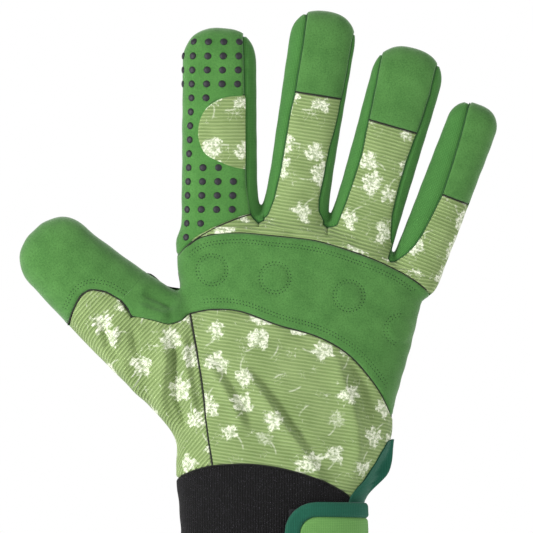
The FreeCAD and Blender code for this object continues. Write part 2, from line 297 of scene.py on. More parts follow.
def flower_cells(finish, place):
    """Distance from the nearest flower's centre, the angle there, and two chances of its own."""
    cells = finish.stretched(place, 1 / FLOWER_SPACING, 1 / FLOWER_SPACING)
    voronoi = finish.tree.nodes.new("ShaderNodeTexVoronoi")
    voronoi.voronoi_dimensions = "2D"
    finish.plug(voronoi.inputs["Vector"], cells)
    voronoi.inputs["Scale"].default_value = 1.0
    voronoi.inputs["Randomness"].default_value = 0.62
    centre, color = (Value(finish, voronoi.outputs[label]) for label in ("Position", "Color"))
    dx, dz, _ = finish.node("ShaderNodeVectorMath", {"operation": "SUBTRACT"},
                            {0: cells, 1: centre}).parts()
    first, second, _ = color.parts("ShaderNodeSeparateColor")
    far = Value(finish, voronoi.outputs["Distance"]) * FLOWER_SPACING
    return far, dz.math("ARCTAN2", dx), first, second


def flower_print(finish, place):
    """How much white print lies on the cloth, from 0 to 1."""
    far, angle, first, second = flower_cells(finish, place)
    ragged = finish.noise(place, 0.5, 3.0, 0.7)
    polar = finish.node("ShaderNodeCombineXYZ", {}, {0: angle * 2.4, 1: far * 0.34, 2: second * 20})
    strokes = finish.noise(polar, 1.9, 2.0, 0.65)
    speck = finish.noise(place, 1.5, 3.0, 0.8)
    turned = finish.node("ShaderNodeCombineXYZ", {},
                         {0: angle * 0.75, 1: second * 31, 2: first * 17})
    lobes = finish.noise(turned, 1.6, 1.0, 0.5)
    reach = first * 2.4 + 2.3 + (ragged - 0.5) * 8.0 + (lobes - 0.45) * 7.5
    head = (1 - (far - reach).step(-0.9, 0.5)) * first.step(0.08, 0.16)
    body = (strokes * 0.65 + speck * 0.45 + (far / (reach + 1.5)) * 0.1).step(0.45, 0.6)
    clump = finish.noise(place, 0.62, 1.0, 0.5).step(0.42, 0.55)
    flower = head * (body + 0.08) * (clump * 0.75 + 0.45)

    aim = angle - second * 6.28 + far * 0.07
    aside = (aim.math("SINE") * far).math("ABSOLUTE")
    ahead = aim.math("COSINE") * far
    stem = (1 - aside.step(0.18, 0.5)) * ahead.step(2.5, 4.0) * (1 - ahead.step(7.5, 9.5))
    twig = (finish.noise(place, 0.34, 1.0, 0.4) - 0.5).math("ABSOLUTE")
    vein = (1 - twig.step(0.004, 0.016)) * finish.noise(place, 0.13, 1.0).step(0.56, 0.6)
    stem = stem.math("MAXIMUM", vein) * 0.5 * ragged.step(0.34, 0.5)
    return flower.math("MAXIMUM", stem)


def print_fabric(name):
    finish = Finish(name)
    place = cloth_place(finish)
    rib, loops, ground = ribbed_ground(finish, place)
    # painted shade: the print is dimmed in the rib valleys
    paint = flower_print(finish, place) * (rib * 0.25 + 0.8)
    color = finish.mix(paint, ground, screen(238, 243, 219))
    height = rib * 0.75 + loops * 0.25 + paint * 0.12
    return finish.surface(color, 0.86 - paint * 0.08, height, 0.0006, 0.85,
                          Sheen_Weight=0.12, Specular_IOR_Level=0.3)


floral_rib = print_fabric("floral_rib")
print("print fabric made, rib pitch", RIB_PITCH, "mm")

# %% [markdown]
# The plain cloths share one recipe with different numbers: fine cords or knit rows in one
# direction, broken by noise, over a two-tone ground. The stretch cloth of the finger sides, the
# cuff elastic, the binding tape, the strap cloth and both hook-and-loop faces come from it.


# %% Plain woven and knitted cloths
def knit(name, dark, light, pitch, depth, cords=1.0, lint=0.0, sheen=0.1):
    finish = Finish(name)
    place = cloth_place(finish)
    across, along, _ = place.parts()
    cord = (across * (2 * math.pi / pitch)).math("SINE") * 0.5 + 0.5
    row = (along * (2 * math.pi / (pitch * 0.8)) + cord * 1.5).math("SINE") * 0.5 + 0.5
    fuzz = finish.noise(place, 1.4 / pitch, 4.0, 0.75)
    cloud = finish.noise(place, 0.09, 3.0)
    weave = cord * (0.5 * cords) + row * 0.25 + fuzz * 0.5
    tone = (weave + cloud * 0.4 - 0.25).step(0.0, 1.1)
    color = finish.mix(tone, dark, light)
    if lint:
        speck = finish.noise(place, 3.2, 1.0, 0.5).step(0.66, 0.74) * lint
        color = finish.mix(speck, color, screen(150, 145, 160))
    return finish.surface(color, 0.88 - fuzz * 0.1, weave, depth, 0.8,
                          Sheen_Weight=sheen, Specular_IOR_Level=0.25)


side_cloth = knit("side_cloth", screen(50, 104, 42), screen(86, 144, 70), 0.8, 0.0003, 0.5)
cuff_elastic = knit("cuff_elastic", screen(1, 1, 1), screen(12, 11, 13), 1.1, 0.0006, 1.0, 0.45,
                    sheen=0.02)
teal_tape = knit("teal_tape", screen(8, 72, 54), screen(34, 106, 84), 0.7, 0.0003, 0.6)
strap_cloth = knit("strap_cloth", screen(88, 138, 70), screen(126, 176, 98), 0.9, 0.0003, 0.3)
loop_pile = knit("loop_pile", screen(10, 10, 14), screen(34, 32, 40), 0.5, 0.0006, 0.4)
hook_face = knit("hook_face", screen(12, 20, 18), screen(38, 56, 50), 1.3, 0.0006, 1.0)
print("six plain cloths made")

# %% [markdown]
# Small parts are rubber grip dots, black sewing thread, a dark green cord of painted seam shade,
# and dark domes of painted shade for the needle holes. Each is so small that two tones and a
# little unevenness are all that can be seen of it.


# %% Rubber, thread and painted shade for seams and needle holes
def small_part(name, dark, light, roughness, scale, depth):
    finish = Finish(name)
    place = finish.node("ShaderNodeTexCoord", output="Object")
    spots = finish.noise(place, scale, 3.0, 0.6)
    return finish.surface(finish.mix(spots, dark, light), spots * 0.1 + roughness, spots, depth)


grip_rubber = small_part("grip_rubber", screen(12, 11, 17), screen(34, 31, 42), 0.55, 900, 0.0001)
# painted shade: this dark green cord stands in for the shadow in the seam grooves
painted_seam_shade = small_part("painted_seam_shade", screen(22, 66, 26), screen(40, 96, 40), 0.75, 2500, 0.0001)
black_thread = small_part("black_thread", screen(14, 16, 12), screen(38, 42, 30), 0.75, 2500, 0.0001)
# painted shade: dark domes standing in for the shade inside needle holes
needle_hole_shade = small_part("needle_hole_shade", screen(14, 38, 16), screen(24, 54, 24), 0.9, 2500, 0.0001)
print(len(bpy.data.materials), "materials in all")

# %% [markdown]
# The glove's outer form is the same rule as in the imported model: every finger is a rounded bar
# in its own frame, the hand is a row of rounded sections, and neighbours melt together. A form
# that is a rule can be asked anywhere, so every panel, seam and dot can lie exactly on it.

# %% Fingers and hand in numbers
MM = 0.001
ROUNDNESS = 2.4
CLOTH = 1.2
Finger = namedtuple("Finger", "x z tilt length base_half tip_half half_depth root blend")
FINGERS = {
    "index": Finger(-21, 157, 0, 83, 15.8, 15.3, 8.8, 14, 4),
    "middle": Finger(9.6, 157, 9, 91.5, 12.8, 13.9, 8.8, 14, 4),
    "ring": Finger(37.6, 150, 15.9, 85, 13.8, 15.0, 8.8, 14, 4),
    "little": Finger(61.9, 140, 21, 73, 10.9, 10.8, 8.2, 2, 2),
    "thumb": Finger(-60.3, 116.8, -46, 54.5, 18.8, 16.6, 11, 40, 4),
}
WEB = Finger(-59, 123.4, -54.6, 32, 14, 13, 9, 14, 6)
HAND_SECTIONS = np.array((
    (0, -37.5, 38, 19), (30, -37.5, 37.5, 19), (42, -38.5, 39, 18.8), (52, -39.5, 44, 18.6),
    (64, -39, 49.5, 18.3), (80, -38.5, 51.5, 18), (100, -38, 57, 17), (113, -37, 60.5, 16),
    (127, -34, 63.5, 15), (150, -36, 70, 12.5)))
HAND_TOP = np.array((
    (-40, 157), (-5, 158), (12, 157), (24, 154.5), (38, 149.5), (52, 143), (66, 138)))
HAND_TOP_ROUND = 10


def axes(finger):
    """A finger's direction along itself and across itself."""
    lean = math.radians(finger.tilt)
    return np.array((math.sin(lean), math.cos(lean))), np.array((math.cos(lean), -math.sin(lean)))


def finger_half(finger, s):
    """Half the width of a finger, s along it, and where its rounded tip begins."""
    straight = finger.length - finger.tip_half
    taper = np.clip(s / straight, 0, 1)
    return finger.base_half + taper * (finger.tip_half - finger.base_half), straight


def finger_gap(finger, p):
    """How far points are outside a finger's bar."""
    along, across = axes(finger)
    place = p[..., (0, 2)] - np.array((finger.x, finger.z))
    s, u = place @ along, place @ across
    half, straight = finger_half(finger, s)
    past = np.maximum(0, s - straight) / finger.tip_half
    past = past + np.maximum(0, -finger.root - s) / finger.base_half
    size = np.abs(u / half) ** ROUNDNESS + np.abs(p[..., 1] / finger.half_depth) ** ROUNDNESS
    return ((size + past ** ROUNDNESS) ** (1 / ROUNDNESS) - 1) * finger.half_depth


def hand_gap(p):
    """How far points are outside the hand without its fingers."""
    x, y, z = p[..., 0], p[..., 1], p[..., 2]
    left, right, depth = (np.interp(z, HAND_SECTIONS[:, 0], HAND_SECTIONS[:, k]) for k in (1, 2, 3))
    top = np.interp(x, HAND_TOP[:, 0], HAND_TOP[:, 1])
    above = np.maximum(0, z - top + HAND_TOP_ROUND - 2) / HAND_TOP_ROUND
    size = np.abs((x - (left + right) / 2) / ((right - left) / 2)) ** ROUNDNESS
    size = size + np.abs(y / depth) ** ROUNDNESS + above ** ROUNDNESS
    return (size ** (1 / ROUNDNESS) - 1) * depth


def form_gap(p):
    """How far points are outside the glove's form, in millimetres; negative inside."""
    gap = hand_gap(p)
    for finger in (WEB, *FINGERS.values()):
        other = finger_gap(finger, p)
        mix = np.maximum(0, finger.blend - np.abs(gap - other)) / finger.blend
        gap = np.minimum(gap, other) - mix * mix * finger.blend / 4
    return gap


DEEPEST, HALVINGS = 40.0, 24


def outward(p):
    """The direction straight out of the form."""
    step = 0.05 * np.eye(3)
    slope = np.stack([form_gap(p + d) - form_gap(p - d) for d in step], -1)
    return slope / np.maximum(np.linalg.norm(slope, axis=-1, keepdims=True), 1e-9)


def flat_points(plan):
    """Points at mid thickness over (x, z) places."""
    plan = np.asarray(plan, float)
    return np.stack([plan[..., 0], np.zeros(plan.shape[:-1]), plan[..., 1]], -1)


def to_edge(plan):
    """The nearest points of the glove's outline to (x, z) places near it."""
    p = flat_points(plan)
    for _ in range(10):
        out = outward(p)
        out[..., 1] = 0
        gap = form_gap(p)
        slope = np.maximum((form_gap(p + out * 0.1) - gap) / 0.1, 0.2)
        p = p - out * (gap / slope)[..., None]
    return p[..., (0, 2)]


def on_form(plan, side):
    """Points of the form's surface over (x, z) places; side is -1 for the back, 1 for the palm."""
    p = flat_points(plan)
    low, high = np.zeros(p.shape[:-1]), np.full(p.shape[:-1], DEEPEST)
    for _ in range(HALVINGS):
        p[..., 1] = side * (low + high) / 2
        inside = form_gap(p) < 0
        middle = (low + high) / 2
        low, high = np.where(inside, middle, low), np.where(inside, high, middle)
    p[..., 1] = side * low
    return p


print("outline at the wrist:", to_edge([(-37, 20), (37, 20)]).round(2).tolist())

# %% [markdown]
# Cloth is never as smooth as the form under it. Worn folds run down the back of the hand and
# over the base of the thumb, the bar swells a little over each knuckle pad, and everything
# undulates softly. A simulated sheet would lose its seams, so the folds are drawn: each is a
# path with one steep and one soft flank, and one function adds them all to the form.

# %% Folds and swellings
# each fold: height, half width, then its path as (x, z); a negative height is a valley
BACK_FOLDS = (
    (1.3, 2.6, (-29.5, 104.5), (-22, 96), (-17, 87), (-12, 77.5), (-9, 70)),
    (-1.0, 2.2, (-25.5, 100), (-18, 91), (-13.5, 82), (-9, 72)),
    (1.2, 2.8, (-13, 100), (-2, 85), (5.5, 74), (11.5, 66), (20.5, 52.5), (24, 49.5)),
    (-0.9, 2.2, (-9, 98.5), (2, 83.5), (9.5, 72.5), (15, 65)),
    (1.4, 2.8, (27, 104.5), (31, 91.5), (34.5, 81.5), (36.5, 72.5), (37, 61.5), (33.5, 45)),
    (-1.2, 2.0, (32, 101), (39, 88.5), (42.5, 72.5)),
    (-1.4, 2.2, (-73, 119.5), (-68, 106), (-62, 98)),
    (1.1, 2.4, (-65, 117), (-65, 106.5), (-58.5, 95.5), (-51, 82.5)),
    (-0.9, 1.8, (-59, 117), (-57, 104), (-51, 92)),
    (1.1, 2.6, (-46.5, 117), (-43.5, 101), (-45, 86), (-43.5, 79.5), (-38, 71.5)),
    (-1.1, 1.8, (-40.5, 113), (-41, 97.5), (-40, 84), (-35, 70)),
    (0.9, 2.2, (-36, 114.5), (-35.7, 102.5), (-33, 88), (-29, 70)),
    (0.9, 2.4, (-56, 124), (-49, 121), (-42, 119)),
    (-0.9, 2.0, (-54, 129), (-46, 125.5), (-40, 122)),
)
PALM_FOLDS = (
    (-1.3, 3.2, (-30, 118), (-20, 104), (-16, 86), (-18, 68)),
    (1.0, 3.5, (-24, 120), (-13, 104), (-9, 86), (-11, 70)),
    (-1.0, 3.0, (-28, 130), (-8, 123), (16, 117), (40, 112)),
    (-0.8, 3.0, (8, 112), (30, 104), (50, 96)),
    (0.9, 3.0, (20, 84), (30, 72), (36, 62)),
    (-0.9, 2.6, (-66, 112), (-56, 104), (-46, 92)),
)
KNUCKLES = {"index": (-24.4, 138.6), "middle": (2.1, 135.2), "ring": (33.2, 127.7),
            "little": (54.5, 113.4)}
FOLD_DEPTH = 2.2
STEEP_FLANK, SOFT_FLANK = 0.52, 1.45


def away_from(plan, path):
    """The distance of (x, z) places from a path, negative on its right, and how far along."""
    path = np.asarray(path, float)
    best = np.full(plan.shape[:-1], 1e9)
    share = np.zeros(plan.shape[:-1])
    for k in range(len(path) - 1):
        run = path[k + 1] - path[k]
        t = np.clip(((plan - path[k]) @ run) / (run @ run), 0, 1)
        off = plan - path[k] - t[..., None] * run
        distance = np.linalg.norm(off, axis=-1)
        nearer = distance < np.abs(best)
        hand = np.sign(run[0] * off[..., 1] - run[1] * off[..., 0])
        best = np.where(nearer, distance * np.where(hand < 0, -1, 1), best)
        share = np.where(nearer, (k + t) / (len(path) - 1), share)
    return best, share


def relief(plan, side, depth):
    """How far the cloth stands off the form at (x, z) places, where the form is depth deep."""
    x, z = plan[..., 0], plan[..., 1]
    height = 0.16 * np.sin(x * 0.31 + 1.3 * np.sin(z * 0.11))
    height = height * np.sin(z * 0.23 + 0.9 * np.sin(x * 0.17))
    height = height + 0.10 * np.sin(x * 0.53 + z * 0.61)
    inner = np.clip(depth / 6, 0, 1)
    for number, folds in ((-1, BACK_FOLDS), (1, PALM_FOLDS)):
        total = 0
        for tall, wide, *path in folds:
            distance, share = away_from(plan, path)
            fade = np.clip(np.minimum(share, 1 - share) * 5, 0.0, 1)
            flank = wide * np.where(distance * tall > 0, STEEP_FLANK, SOFT_FLANK)
            total = total + tall * fade * np.exp(-((distance / flank) ** 2))
        height = height + np.where(np.asarray(side) == number, total * FOLD_DEPTH * inner, 0)
    bump = 0
    for centre in KNUCKLES.values():
        distance = np.linalg.norm(plan - np.array(centre), axis=-1)
        swell, dip = ((distance / 5.6) ** 4), (((distance - 6.2) / 1.1) ** 2)
        bump = bump + 0.75 * np.exp(-swell) - 0.35 * np.exp(-dip)
    return height + np.where(np.asarray(side) == -1, bump * inner, 0)


print(len(BACK_FOLDS), "folds on the back,", len(PALM_FOLDS), "on the palm")

# %% [markdown]
# A panel is drawn as control lines over (x, z), as a pattern maker draws it. The lines are
# smoothed by Catmull-Rom curves and filled with rows of points, closer together at a seam, where
# the cloth rolls under, and at the outline, where it turns round the hand. Every point then
# drops onto the form, and the sheet gets its thickness from an inner copy and a rim.


# %% Lines and rows
def curve(points, places):
    """A smooth curve through points, read at places counted in points (0 is the first)."""
    points = np.asarray(points, float)
    last = len(points) - 1
    places = np.clip(np.asarray(places, float), 0, last)
    shape = (-1,) + (1,) * (points.ndim - 1)
    if last < 2:
        share = (places / max(last, 1)).reshape(shape)
        return points[0] * (1 - share) + points[-1] * share
    k = np.minimum(places.astype(int), last - 1)
    t = (places - k).reshape(shape)
    before, a, b, after = (points[np.clip(k + d, 0, last)] for d in (-1, 0, 1, 2))
    before = np.where((k == 0).reshape(shape), 2 * a - b, before)
    after = np.where((k + 1 == last).reshape(shape), 2 * b - a, after)
    return 0.5 * (2 * a + (b - before) * t + (2 * before - 5 * a + 4 * b - after) * t ** 2
                  + (3 * a - before - 3 * b + after) * t ** 3)


def running_length(path):
    """The length along a path up to each of its points."""
    steps = np.linalg.norm(np.diff(path, axis=0), axis=-1)
    return np.concatenate([[0], np.cumsum(steps)])


def read_path(at, marks, path):
    """(x, z) places on a path whose points are marked, read between the marks."""
    return np.stack([np.interp(at, marks, path[:, k]) for k in (0, 1)], -1)


NEAR_OUTLINE = (0, 0.02, 0.1, 0.28, 0.6, 1.05, 1.6, 2.3)
NEAR_EDGE = {"": (0,), "seam": (0, 0.25, 0.55, 0.9, 1.35),
             "outline": NEAR_OUTLINE, "close": NEAR_OUTLINE}
STEP = 0.95


def stations(length, start="", end=""):
    """Shares along a row: even steps, and closer ones near a seam or the outline."""
    low, high = np.array(NEAR_EDGE[start]), length - np.array(NEAR_EDGE[end])[::-1]
    if high[0] - low[-1] < 0.4:
        return np.linspace(0, 1, max(3, int(length / 0.5) + 2))
    count = max(1, round((high[0] - low[-1]) / STEP))
    return np.concatenate([low, np.linspace(low[-1], high[0], count + 1)[1:-1], high]) / length


def index_places(line_lengths, shares):
    """Turns shares of length into places counted in points."""
    total = np.concatenate([[0], np.cumsum(line_lengths)])
    return np.interp(shares * total[-1], total, np.arange(len(total)))


def loft(lines, left="", right="", bottom="", top="", linear=False):
    """Rows of (x, z) places between control lines with the same number of points."""
    lines = np.asarray(lines, float)
    across = np.linalg.norm(np.diff(lines, axis=1), axis=-1).mean(0) + 1e-6
    along = np.linalg.norm(np.diff(lines, axis=0), axis=-1).mean(1) + 1e-6
    columns = index_places(across, stations(across.sum(), left, right))
    row_shares = stations(along.sum(), bottom, top)
    column_shares = stations(across.sum(), left, right)
    rows = index_places(along, row_shares)
    if linear:
        k = np.arange(lines.shape[1])
        smooth = np.stack([read_path(columns, k, line) for line in lines])
    else:
        smooth = np.stack([curve(line, columns) for line in lines])
    plan = curve(smooth, rows)
    for k, kind, pull in ((0, left, 1 - column_shares), (-1, right, column_shares)):
        if kind == "outline":
            shift = to_edge(plan[:, k]) - plan[:, k]
            plan = plan + shift[:, None] * (pull ** 2)[None, :, None]
    for k, kind, pull in ((0, bottom, 1 - row_shares), (-1, top, row_shares)):
        if kind == "outline":
            shift = to_edge(plan[k]) - plan[k]
            plan = plan + shift[None] * (pull ** 2)[:, None, None]
    return plan


def ruled(left_border, right_border, left="", right="", bottom="", top="", width=20.0, tip=False):
    """Rows of (x, z) places straight across between two borders."""
    pair = [np.asarray(line, float) for line in (left_border, right_border)]
    marks = [running_length(line) for line in pair]
    mean = np.mean([mark[-1] for mark in marks])
    shares = stations(mean, bottom, top)
    if tip:
        shares = np.unique(np.concatenate([shares, 1 - np.array(NEAR_OUTLINE[1:5]) / mean]))
    first, last = [read_path(shares * mark[-1], mark, line) for line, mark in zip(pair, marks)]
    across = stations(width, left, right)[None, :, None]
    return first[:, None] * (1 - across) + last[:, None] * across


print("a row 20 mm long between two seams has", len(stations(20, "seam", "seam")), "points")

# %% [markdown]
# A seam is where two panels turn under together. The last millimetre or so of each panel that
# ends in a seam rolls inwards, so that two neighbours leave the soft groove of a real seam.


# %% From places to cloth
SEAM_ROLL = 1.0
SEAM_WIDTH = 1.5
SAME_POINT = 1e-6


def roll(p, edges):
    """How far each point of a grid sinks for the seams at its edges."""
    sunk = np.zeros(p.shape[:-1])
    steps_u = np.linalg.norm(np.diff(p, axis=1), axis=-1)
    steps_v = np.linalg.norm(np.diff(p, axis=0), axis=-1)
    u = np.concatenate([np.zeros((p.shape[0], 1)), np.cumsum(steps_u, 1)], 1)
    v = np.concatenate([np.zeros((1, p.shape[1])), np.cumsum(steps_v, 0)], 0)
    distances = {"left": u, "right": u[:, -1:] - u, "bottom": v, "top": v[-1:] - v}
    for edge in edges:
        near = np.clip(1 - distances[edge] / SEAM_WIDTH, 0, 1)
        sunk = np.maximum(sunk, SEAM_ROLL * near ** 2)
    return sunk


def cloth_grid(plan, side, layer=0.0, seams=(), loose=1.0):
    """Outer points, outward directions and cloth places of one panel."""
    p = on_form(plan, side)
    out = outward(p)
    lift = layer + relief(plan, side, np.abs(p[..., 1])) * loose - roll(p, seams)
    steps_x = np.diff(p[..., 0], axis=1)
    arc = np.sign(steps_x) * np.hypot(steps_x, np.diff(p[..., 1], axis=1))
    x = np.concatenate([np.zeros((p.shape[0], 1)), np.cumsum(arc, 1)], 1)
    middle = p.shape[1] // 2
    x = x - x[:, middle:middle + 1] + p[:, middle:middle + 1, 0]
    flat = np.stack([x, p[..., 2]], -1)
    return p + out * lift[..., None], out, flat


def shell(grids, thickness):
    """Points, faces, cloth places and rim edges of closed cloth made from grids."""
    verts, faces, flats, rims = [], [], [], []
    for p, out, flat in grids:
        rows, columns = p.shape[:2]
        start, deep = len(verts), rows * columns
        inner = p - out * thickness
        verts += [tuple(v) for v in np.concatenate([p.reshape(-1, 3), inner.reshape(-1, 3)]) * MM]
        spot = flat.reshape(-1, 2)
        flats += [tuple(v) for v in np.concatenate([spot, spot])]
        number = np.arange(deep).reshape(rows, columns) + start
        quads = np.stack([number[:-1, :-1], number[:-1, 1:], number[1:, 1:], number[1:, :-1]], -1)
        quads = quads.reshape(-1, 4)
        across, up = p[:-1, 1:] - p[:-1, :-1], p[1:, :-1] - p[:-1, :-1]
        facing = (np.cross(across, up) * out[:-1, :-1]).sum()
        if facing < 0:
            quads = quads[:, ::-1]
        faces += [tuple(int(i) for i in quad) for quad in quads]
        faces += [tuple(int(i) + deep for i in quad[::-1]) for quad in quads]
        loop = np.concatenate([number[0], number[1:, -1], number[-1, -2::-1], number[-2:0:-1, 0]])
        loop = [int(i) for i in loop]
        for a, b in zip(loop, loop[1:] + loop[:1]):
            quad = (a, a + deep, b + deep, b)
            faces.append(quad if facing > 0 else quad[::-1])
            rims.append((a, b))
    return verts, faces, np.array(flats), rims


def sheet_mesh(name, grids, thickness=CLOTH, turn=0.0):
    """One piece of cloth, with its cloth places as a UV map and its rim as sharp edges."""
    verts, faces, flats, rims = shell(grids, thickness)
    mesh = bpy.data.meshes.new(name)
    mesh.from_pydata(verts, [], faces)
    layer = mesh.uv_layers.new(name="cloth")
    corner = np.zeros(len(mesh.loops), np.int32)
    mesh.loops.foreach_get("vertex_index", corner)
    c, s = math.cos(turn), math.sin(turn)
    spun = np.stack([flats[:, 0] * c + flats[:, 1] * s, flats[:, 1] * c - flats[:, 0] * s], -1)
    layer.data.foreach_set("uv", spun[corner].astype(np.float32).ravel())
    mesh.polygons.foreach_set("use_smooth", np.ones(len(mesh.polygons), bool))
    sharp = {frozenset(pair) for pair in rims}
    edges = mesh.attributes.new("sharp_edge", "BOOLEAN", "EDGE")
    edges.data.foreach_set("value", [frozenset(e.vertices) in sharp for e in mesh.edges])
    tool = bmesh.new()
    tool.from_mesh(mesh)
    bmesh.ops.remove_doubles(tool, verts=tool.verts, dist=SAME_POINT)
    bmesh.ops.dissolve_degenerate(tool, edges=tool.edges, dist=SAME_POINT)
    tool.to_mesh(mesh)
    tool.free()
    piece = bpy.data.objects.new(name, mesh)
    scene.collection.objects.link(piece)
    return piece


print("seams roll", SEAM_ROLL, "mm under over", SEAM_WIDTH, "mm")

# %% [markdown]
# Each piece belongs to a zone. Hand pieces ride on the hand, and strap pieces on the strap. The
# lower part of a finger lies between the hand and the finger's first body, and the upper part
# between that body and the tip; finger pieces keep their place, with their transform baked in.
# Each unpadded panel prints how large it was cut, which is measured on the cloth itself.

# %% Zones, and how pieces are fixed to bodies or baked in place
BASE_BEND = {name: (3, 17) for name in FINGERS} | {"thumb": (-7, 7)}
TIP_BEND = {"index": (28, 48), "middle": (30, 50), "ring": (27, 47), "little": (19, 37),
            "thumb": (9, 35)}
CUT = {name: 18.0 for name in FINGERS} | {"thumb": 8.0}
NARROWEST_SHEET = 10.5
LEAST_SHARE = 0.31


def finger_place(name, s, u):
    """(x, z) of a place s along and u across a finger."""
    finger = FINGERS[name]
    along, across = axes(finger)
    base = np.array((finger.x, finger.z))
    return base + np.multiply.outer(s, along) + np.multiply.outer(u, across)


def on_finger(name, points):
    """(x, z) places of (s, u) points on a finger."""
    points = np.asarray(points, float)
    return finger_place(name, 0, 0) + points @ np.stack(axes(FINGERS[name]))


def in_finger(name, place):
    """How far along and across a finger an (x, z) place is."""
    finger = FINGERS[name]
    offset = np.array(place) - (finger.x, finger.z)
    return [float(offset @ axis) for axis in axes(finger)]


def settle(piece, zone, nodes=()):
    """Fixes a hand or strap piece to its body, bakes a finger piece's transform, and hides the parts
    it replaces.
    """
    if zone in ("hand", "strap"):
        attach(piece, zone)
    else:
        name, part = zone.split("_")
        low, high = (BASE_BEND if part == "lower" else TIP_BEND)[name]
        base, tip = name + "_base", name + "_tip"
        first, second = ("hand", base) if part == "lower" else (base, tip)
        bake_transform(piece)
    if nodes:
        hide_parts(*nodes)


def cut_size(grids):
    """Greatest width, greatest length and area of a panel's cut, in millimetres."""
    lengths = [[np.linalg.norm(np.diff(p, axis=axis), axis=-1).sum(axis).max() for axis in (1, 0)]
               for p, out, flat in grids]
    area = 0
    for p, out, flat in grids:
        across, up = p[:-1, 1:] - p[:-1, :-1], p[1:, :-1] - p[:-1, :-1]
        area += np.linalg.norm(np.cross(across, up), axis=-1).sum()
    width, length = max(w for w, l in lengths), sum(l for w, l in lengths)
    return width, length, min(area, width * length)


def declare_cloth(grids):
    """The size a panel was cut to, as text; a thin panel's length is taken from its area."""
    width, length, area = cut_size(grids)
    if area < LEAST_SHARE * width * length:
        length = area / LEAST_SHARE / width
    if min(width, length) > NARROWEST_SHEET:
        width * MM
        length * MM
        area * MM * MM
    return f"cut {width:.0f} x {length:.0f} mm, {area / 100:.1f} cm2"


def panel(name, grids, material, zone="hand", nodes=(), thickness=CLOTH, turn=0, fill=None):
    """Makes, settles and prints one panel; turn leans its weave, fill is for a padded one."""
    piece = sheet_mesh(name, grids, thickness, math.radians(turn))
    piece.data.materials.append(material)
    settle(piece, zone, nodes)
    if fill is None:
        cut = declare_cloth(grids)
    else:
        cut = f"padded, fill {fill}"
    print(f"{name}: {len(piece.data.polygons)} faces on {zone}, {cut}")


print("cuts between lower and upper parts:", CUT)


# %% [markdown]
# The back of the hand: black elastic round the wrist, the big ribbed print panel above it, and
# the suede bar over the knuckles. Their shared lines are drawn once and used by both neighbours.

# %% Lines of the back of the hand
BAR_LOWER = np.array((
    (-37.5, 117), (-33.6, 120.4), (-24, 122), (-12, 121), (3, 115.5),
    (20, 110.5), (33, 103), (43, 92), (48.8, 82.5), (51.5, 77)))
BAR_UPPER = np.array((
    (-38.5, 145), (-33.5, 150), (-26, 153.2), (-13, 154.4), (2, 153),
    (19, 151), (36, 146), (52, 139.5), (61.5, 133.5), (66, 130)))
CUFF_TOP_LEFT = (
    (-40.5, 51), (-38, 52), (-35.5, 53), (-33, 54), (-30, 55), (-27, 55.8), (-24.4, 56.3))
CUFF_TOP_RIGHT = (
    (-24.4, 56.3), (-17, 56.8), (-8, 56.9), (3, 55.5), (13, 53), (22, 50), (30, 45.8),
    (32.2, 44.2), (33.8, 42.8))
BACK_LOW = (
    (-27, 74), (-19, 74.5), (-9, 74.2), (3, 71), (15, 67.5), (25, 63.5), (34, 57.8),
    (39, 54.4), (41.2, 53.2))
BACK_MIDDLE = (
    (-29, 93), (-20.5, 93.2), (-10, 92), (3, 87.5), (16.5, 83), (27.5, 77.5), (40, 69.5),
    (46.5, 66), (49.5, 63.5))
KNOTS = {"index": (-4.8, 159.0), "middle": (24.0, 157.0), "ring": (50.9, 142.4)}
ROOT_X = (-38.5, -4.8, 24.0, 50.9, 69.0)
ROOT_Z = (156.5, 156.7, 153.2, 141.6, 134.0)


def level_line(left, right, z, count):
    """Points along a level line, closer together at its ends."""
    share = np.linspace(0, 1, count)
    place = (2 * share - 1 - np.cos(np.pi * share)) / 2
    return np.stack([(left + right) / 2 + (right - left) / 2 * place, np.full(count, float(z))], -1)


def snapped(lines, ends):
    """The lines with their named ends moved onto the glove's outline."""
    lines = np.array(lines, float)
    for end in ends:
        lines[:, end] = to_edge(lines[:, end])
    return lines


WEB_JUMP = 1.2


def web_edge():
    """The outline of the web between thumb and index finger, from the thumb to the corner."""
    xs, zs = np.linspace(-54, -36.2, 90), np.arange(116, 140, 0.05)
    open_here = form_gap(flat_points(np.stack(np.meshgrid(xs, zs), -1))) > 0
    top = zs[np.argmax(open_here, axis=0)]
    smooth_on = open_here.any(axis=0)[1:] & (np.abs(np.diff(top)) < WEB_JUMP)
    corner = 1 + int(np.argmin(np.append(smooth_on, False)))
    return np.stack([xs[:corner], top[:corner]], -1)


WEB_EDGE = web_edge()
WEB_CORNER = WEB_EDGE[-1]
print("web corner:", WEB_CORNER.round(2).tolist())
CUFF_TOP = CUFF_TOP_LEFT + CUFF_TOP_RIGHT[1:]
KNUCKLE_X = np.array((-38.5, -32, -20, -4.8, 9, 24, 37, 50.9, 61, 69))
KNUCKLE_LINE = np.stack([KNUCKLE_X, np.interp(KNUCKLE_X, ROOT_X, ROOT_Z)], -1)
bar_middle = BAR_LOWER * 0.63 + BAR_UPPER * 0.37
bar_high = BAR_LOWER * 0.3 + BAR_UPPER * 0.7
bar_middle[0] = WEB_CORNER

# %% [markdown]
# Four panels cover the back of the hand. The lines at left and right are pulled onto the
# outline where the cloth turns round the hand, and the bar is the only padded piece: the foam
# under it lifts it over each knuckle.

